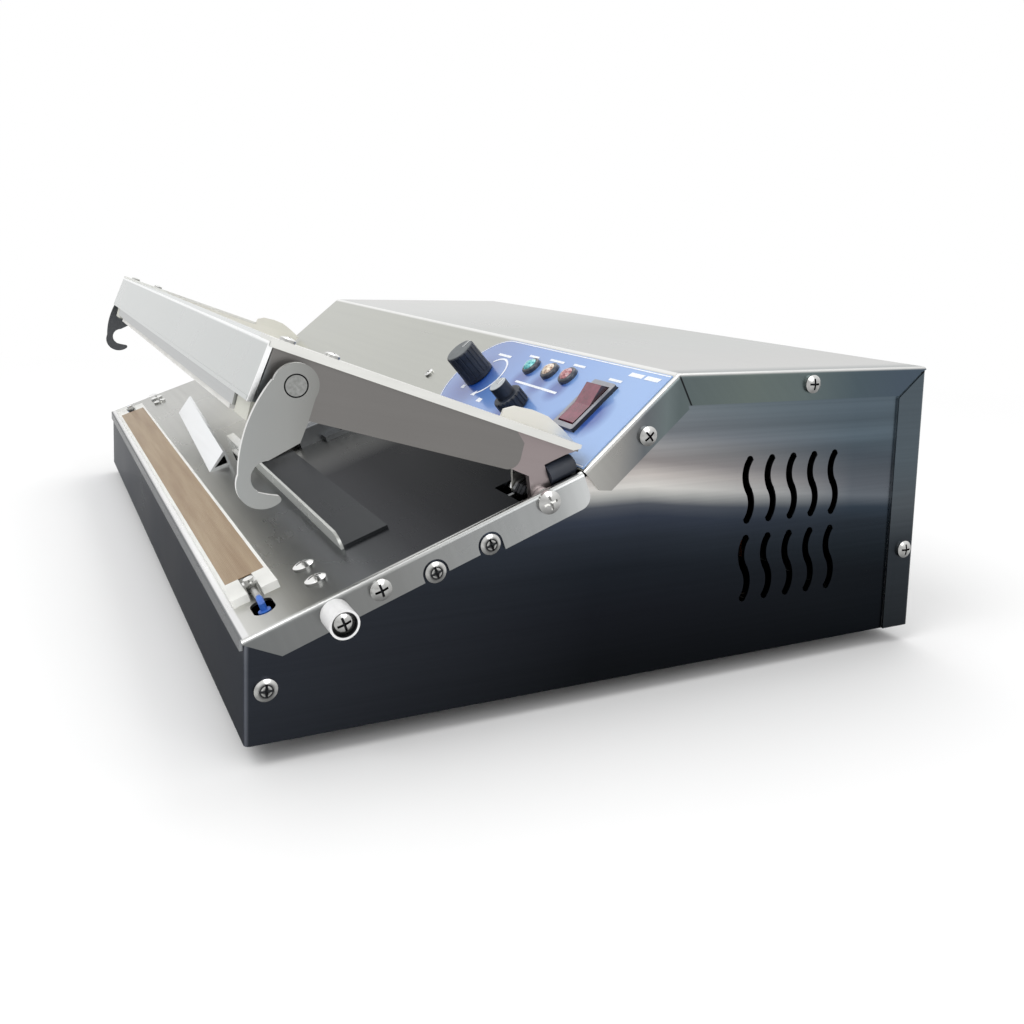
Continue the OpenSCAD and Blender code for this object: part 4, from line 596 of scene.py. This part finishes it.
# The catch bushes are white turned plastic sleeves, each clamped to the case's side by a screw
# sunk in its bore, which lies in shadow. The bushes of the catch shaft are ivory bearing
# plastic, pressed into the arms.
bore_centre, bore_radius = Vector((0, -122.76, 51.13)), 4.4
plastic_cloud, plastic_grain = 12.5, 1.43


def plastic(name, dark, light, rough, coat=0.0, bored=False):
    made, tree, place = blank(name)
    cloud = add(tree, "TexNoise", place, Scale=1 / plastic_cloud, Detail=3.0)
    fine = add(tree, "TexNoise", place, Scale=1 / plastic_grain, Detail=3.0)
    colour = mottled(tree, cloud, dark, light)
    if bored:
        flat = add(tree, "VectorMath", place, (0.0, 1.0, 1.0), operation="MULTIPLY")
        radius = add(tree, "VectorMath", flat, bore_centre, operation="DISTANCE")
        bore = add(tree, "MapRange", radius, bore_radius, bore_radius + 0.1, 1.0, 0.0)
        colour = add(tree, "Mix", bore, colour, deep_shadow, data_type="RGBA")
    height = add(tree, "Bump", Height=fine, Strength=0.06, Distance=0.0002)
    return finish(made, tree, Base_Color=colour, Roughness=rough, Coat_Weight=coat, Normal=height)


dress(plastic("white turned plastic", "#DEDEDE", "#F0F0F0", 0.4, bored=True), "catch_bushes")
dress(plastic("ivory bearing plastic", "#B9B4A6", "#CDC9BD", 0.45), "shaft_bushes")

# The press beam is one folded stainless sheet from arm to arm. It is brushed along its length,
# in faint lines drawn 3.3 mm wide. Its top fold and its two ends carry a painted highlight.
arm_tilt = work_tilt - 34
beam_grain = (333, 250, 3.33)
beam_fold, beam_fold_reach = Vector((0, -144.1, 145.1)), (0.6, 1.3)
beam_end = 245.5


def beam_paint(tree, at):
    right = add(tree, "MapRange", at["x"], -250.0, 250.0)
    front = add(tree, "Mix", right, "#C8CBCA", "#C2C5C4", data_type="RGBA")
    # Painted highlight along the top fold and at both ends.
    flat = add(tree, "VectorMath", at["place"], (0.0, 1.0, 1.0), operation="MULTIPLY")
    away = add(tree, "VectorMath", flat, beam_fold, operation="DISTANCE")
    fold = add(tree, "MapRange", away, *beam_fold_reach, 1.0, 0.0)
    end = add(tree, "MapRange", at["side"], beam_end, beam_end + 0.5)
    painted_highlight = add(tree, "Math", fold, end, operation="MAXIMUM")
    return add(tree, "Mix", painted_highlight, front, "#FAFBFB", data_type="RGBA")


dress(steel("satin stainless of the beam", beam_paint, beam_grain, arm_tilt, 0.28, 0.008),
    "press_beam")

# The arms are folded stainless channels, each under a pale cover strap. Their webs are dull, and
# painted a little paler beside the beam as painted light. The lugs that carry them at the rear are
# a warmer plate with pale inner cheeks.
web_grain = (3.33, 250, 3.33)
strap_grain = (250, 250, 2.5)
web_front_y = -146.2
lug_outside = 236.0


def web_paint(tree, at):
    # Painted light: the web is paler beside the beam.
    ahead = add(tree, "MapRange", at["y"], web_front_y, web_front_y + 2.6, 1.0, 0.0)
    return add(tree, "Mix", ahead, "#777573", "#84888A", data_type="RGBA")


def lug_paint(tree, at):
    outer = add(tree, "Mix", at["cloud"], "#8E8484", "#9A9090", data_type="RGBA")
    outside = add(tree, "MapRange", at["side"], lug_outside, lug_outside + 1.0)
    return add(tree, "Mix", outside, "#E4E2DA", outer, data_type="RGBA")


def strap_paint(tree, at):
    return add(tree, "Mix", at["cloud"], "#D8D8D4", "#E4E4E0", data_type="RGBA")


dress(steel("dull stainless of the arms", web_paint, web_grain, arm_tilt, 0.34, 0.02),
    "arm_channel_left", "arm_channel_right")
dress(steel("warm plate of the lugs", lug_paint, web_grain, arm_tilt, 0.34, 0.02), "pivot_lugs")
dress(steel("pale stainless of the straps", strap_paint, strap_grain, arm_tilt, 0.36, 0.02),
    "arm_top_straps")

# Under the beam an extruded aluminium channel holds the pressing strip of firm, pale silicone
# rubber. Faint lines from the die run along the channel.
holder_grain = (333, 1.43, 1.43)


def holder_paint(tree, at):
    return add(tree, "Mix", at["cloud"], "#A6A8A8", "#B2B4B4", data_type="RGBA")


dress(steel("extruded aluminium channel", holder_paint, holder_grain, arm_tilt, 0.32, 0.03),
    "press_holder")
dress(rubber("silicone strip", "#CFCECA", "#DEDDD9", soft_speck), "press_strip")

# The hooks are thick plates of stainless steel, which tumbling left with a soft, cloudy sheen.
# They are painted darker towards the rear as painted shade, and their cut rims carry a painted
# highlight.
# They sit on a turned steel shaft, whose ends are riveted into them, with a painted shadow as a
# dark ring round each end.
tumbled_grain = (16.7, 16.7, 16.7)
hook_middle, hook_half = 253.0, 1.0
turned_grain = 1.11
shaft_centre = Vector((0, -137.433, 131.312))
shaft_ring, ring_from = 3.5, 250.0


# The left hook is in shade.
def hook_paint(tree, at):
    # Painted shade: the hook darkens towards the rear.
    body = toned(tree, at["y"], (-156, "#999B9A"), (-140, "#939492"), (-126, "#7F7F7C"))
    left = add(tree, "MapRange", at["x"], -200.0, -100.0, 1.0, 0.0)
    body = add(tree, "Mix", left, body, "#5A5C5F", data_type="RGBA")
    # Painted highlight along the cut rims.
    off = apart(tree, at["side"], hook_middle)
    rim = add(tree, "MapRange", off, hook_half - 0.04, hook_half + 0.04, 1.0, 0.0)
    return add(tree, "Mix", rim, body, "#E2E2E0", data_type="RGBA")


def shaft_steel():
    made, tree, place = blank("turned steel shaft")
    moved = add(tree, "VectorMath", place, shaft_centre, operation="SUBTRACT")
    flat = add(tree, "VectorMath", moved, (0.0, 1.0, 1.0), operation="MULTIPLY")
    radius = add(tree, "VectorMath", flat, operation="LENGTH")
    turned = add(tree, "TexNoise", flat, Scale=1 / turned_grain, Detail=2.0)
    side = add(tree, "Math", add(tree, "SeparateXYZ", place, out="X"), operation="ABSOLUTE")
    # Painted shadow: a dark ring round each end of the shaft.
    ring = add(tree, "Math", add(tree, "MapRange", radius, shaft_ring, shaft_ring + 0.08),
        add(tree, "MapRange", side, ring_from, ring_from + 1.0), operation="MULTIPLY")
    steel_tone = mottled(tree, turned, "#848583", "#999A98")
    colour = add(tree, "Mix", ring, steel_tone, "#17181A", data_type="RGBA")
    return finish(made, tree, Base_Color=colour, Metallic=1.0, Roughness=0.3)


dress(steel("tumbled stainless plate", hook_paint, tumbled_grain, 0.0, 0.36, 0.015),
    "hook_left", "hook_right")
dress(shaft_steel(), "latch_shaft")

# The timer knob is ribbed black plastic with a duller grey top and a white pointer. The small
# knob has a skirt and a pale grey cap. Both are moulded and pushed on to ground steel shafts.
timer_at, heat_at = (98.2, 27.4), (160, 17)
timer_top, heat_top = 18.0, 15.0
timer_line, heat_line = 2.5, 0.2
lid_deep, line_deep, line_half = 0.25, 0.9, (0.7, 0.9)
knob_cloud = 3.33


# The place on the slope in millimetres from one point of it, as x, y and z.
def slope_place(tree, place, centre):
    moved = add(tree, "VectorMath", place, on_slope(*centre), operation="SUBTRACT")
    local = add(tree, "Mapping", moved, Rotation=(-math.radians(slope_tilt), 0, 0))
    return [add(tree, "SeparateXYZ", local, out=axis) for axis in "XYZ"]


def knob_plastic(name, top, centre, line_from, cap):
    made, tree, place = blank(name)
    x, y, z = slope_place(tree, place, centre)
    lid = add(tree, "MapRange", z, top - lid_deep, top - lid_deep + 0.1)
    off = add(tree, "Math", x, operation="ABSOLUTE")
    thin = add(tree, "MapRange", off, *line_half, 1.0, 0.0)
    ahead = add(tree, "MapRange", y, line_from, line_from + 0.2)
    high = add(tree, "MapRange", z, top - line_deep, top - line_deep + 0.1)
    line = add(tree, "Math", thin, ahead, operation="MULTIPLY")
    line = add(tree, "Math", line, high, operation="MULTIPLY")
    cloud = add(tree, "TexNoise", place, Scale=1 / knob_cloud, Detail=3.0)
    body = mottled(tree, cloud, "#141A25", "#1F2735")
    lid_tone = mottled(tree, cloud, cap[0], cap[1])
    colour = add(tree, "Mix", lid, body, lid_tone, data_type="RGBA")
    colour = add(tree, "Mix", line, colour, "#ECECEC", data_type="RGBA")
    height = add(tree, "Bump", Height=cloud, Strength=0.05, Distance=0.0002)
    return finish(made, tree, Base_Color=colour, Roughness=0.42, Normal=height)


dress(knob_plastic("black ribbed plastic", timer_top, timer_at, timer_line,
    ("#4E5355", "#5E6365")), "timer_knob")
dress(knob_plastic("black skirted plastic", heat_top, heat_at, heat_line,
    ("#A4A9AC", "#B2B7BA")), "heat_knob")
dress(plated("ground steel shaft", "#8E8E8E", "#A8A8A8", 0.25),
    "timer_shaft", "heat_shaft", "potentiometers")

# The pilot lamps are faceted domes of coloured, clear acrylic, one in each dark moulded bezel.
# The facets are painted in pale and deep cells, drawn 1.4 mm wide: the pale cells are painted
# glints.
facet = 1.43


def lens(name, dark, light):
    made, tree, place = blank(name)
    cells = add(tree, "TexVoronoi", place, Scale=1 / facet)
    height = add(tree, "Bump", Height=cells, Strength=0.35, Distance=0.0006)
    return finish(made, tree, Base_Color=toned(tree, cells, (0.1, dark), (0.7, light)),
        Roughness=0.08, Coat_Weight=1.0, Coat_Roughness=0.03, Transmission_Weight=0.15,
        Normal=height)


dress(lens("green lens", "#1E8A96", "#74D8DA"), "lamp_green")
dress(lens("amber lens", "#7A3A34", "#F2E0C4"), "lamp_amber")
dress(lens("red lens", "#6E2032", "#C88488"), "lamp_red")
dress(plastic("dark bezel plastic", "#2A2E38", "#3A3F4A", 0.3, 0.4), "lamp_bezels")

# The rocker is clear dark red plastic with a glossy skin, painted darker down its sides as painted
# shade. Its frame is black moulded plastic, set in the slope, with its face painted grey as
# painted light.
switch_at = (211.6, 28.2)
rocker_half, frame_face, switch_cloud = 6.3, 2.1, 3.85


def switch_plastic(name, split, low, high, face, rough, coat):
    made, tree, place = blank(name)
    cloud = add(tree, "TexNoise", place, Scale=1 / switch_cloud, Detail=3.0)
    other = split(tree, *slope_place(tree, place, switch_at))
    face_tone = mottled(tree, cloud, face[0], face[1])
    side_tone = mottled(tree, cloud, low, high)
    colour = add(tree, "Mix", other, face_tone, side_tone, data_type="RGBA")
    return finish(made, tree, Base_Color=colour, Roughness=rough, Coat_Weight=coat)


# Painted shade down the rocker's sides.
def rocker_sides(tree, x, y, z):
    out = add(tree, "Math", x, operation="ABSOLUTE")
    return add(tree, "MapRange", out, rocker_half, rocker_half + 0.1)


# Painted light on the frame's face, which looks up out of the slope.
def below_face(tree, x, y, z):
    return add(tree, "MapRange", z, frame_face, frame_face + 0.08, 1.0, 0.0)


dress(switch_plastic("clear red rocker plastic", rocker_sides, "#230A12", "#34101A",
    ("#5E1A30", "#7C2E46"), 0.22, 0.6), "rocker")
dress(switch_plastic("black switch frame with painted light", below_face, "#15161A", "#212226",
    ("#84868E", "#96989E"), 0.35, 0.2), "switch_housing")

# The mains inlet is moulded black plastic with a matt skin. It sits in its opening in the rear
# cover, held by two small screws.
dress(plastic("black inlet plastic", "#141416", "#222226", 0.5), "power_inlet")

# Inside the case, seen only through the vents, stand a transformer with a taped copper
# winding, a cast vacuum pump with its painted motor, a valve, a circuit board on brass posts,
# and a silicone hose to the nozzle.
dress(plated("laminated core steel", "#5B5A58", "#77756F", 0.5), "transformer_core")
dress(plastic("taped copper winding", "#8A4B24", "#B06A38", 0.5), "transformer_winding")
dress(plated("cast pump alloy", "#8A8D92", "#A3A6AA", 0.5), "vacuum_pump")
dress(plastic("painted motor shell", "#23262B", "#33373D", 0.5), "pump_motor")
dress(plated("valve body", "#5C5E62", "#7A7C80", 0.4), "solenoid_valve")
dress(plastic("green circuit board", "#1D5A38", "#2B7448", 0.45), "timer_board")
dress(plated("turned brass", "#A8843C", "#C9A55A", 0.3), "board_standoffs")
dress(plastic("milky silicone hose", "#C9CFD0", "#DDE2E2", 0.4), "vacuum_hose")

# The machine stands on a plain pale floor in soft studio light, in front of white. The floor
# takes its shadow. Further out, what is seen of it fades into the white of the background.
floor_half = 12.0
fade_from, fade_to = 450.0, 1100.0
ambient = 0.75
studio_lamps = (("key light", (0.5, -1.3, 1.7), 1.4, 16.0),
    ("fill light", (1.9, 0.4, 1.1), 1.2, 6.0), ("top light", (-0.6, 0.5, 2.0), 1.6, 10.0))


def directly_seen(tree):
    camera_ray, glossy, clear = (add(tree, "LightPath", out="Is %s Ray" % kind)
        for kind in ("Camera", "Glossy", "Transmission"))
    seen = add(tree, "Math", camera_ray, glossy, operation="MAXIMUM")
    return add(tree, "Math", seen, clear, operation="MAXIMUM")


def pale_floor():
    mesh = bmesh.new()
    corners = ((-1, -1), (1, -1), (1, 1), (-1, 1))
    mesh.faces.new([mesh.verts.new((x * floor_half, y * floor_half, 0)) for x, y in corners])
    data = bpy.data.meshes.new("floor")
    mesh.to_mesh(data)
    mesh.free()
    made, tree, place = blank("pale floor")
    away = add(tree, "VectorMath", place, operation="LENGTH")
    far = add(tree, "MapRange", away, fade_from, fade_to)
    glowing = add(tree, "Math", far, directly_seen(tree), operation="MULTIPLY")
    matte = add(tree, "BsdfDiffuse", "#F4F4F4")
    glow = add(tree, "Emission", "#FFFFFF", 1.0)
    add(tree, "OutputMaterial", add(tree, "MixShader", glowing, matte, glow))
    data.materials.append(made)
    return bpy.data.objects.new("floor", data)


floor = pale_floor()
bpy.context.scene.collection.objects.link(floor)

world = bpy.data.worlds.new("studio")
world.use_nodes = True
world.node_tree.nodes.clear()
strength = add(world.node_tree, "MapRange", directly_seen(world.node_tree), 0.0, 1.0, ambient, 1.0)
add(world.node_tree, "OutputWorld", add(world.node_tree, "Background", "#FFFFFF", strength))
bpy.context.scene.world = world

for name, place, size, power in studio_lamps:
    lamp = bpy.data.lights.new(name, "AREA")
    lamp.shape, lamp.size, lamp.energy = "DISK", size, power
    lit = bpy.data.objects.new(name, lamp)
    lit.location = place
    lit.rotation_euler = (-Vector(place)).to_track_quat("-Z", "Y").to_euler()
    bpy.context.scene.collection.objects.link(lit)

bpy.context.scene.view_settings.view_transform = "Standard"
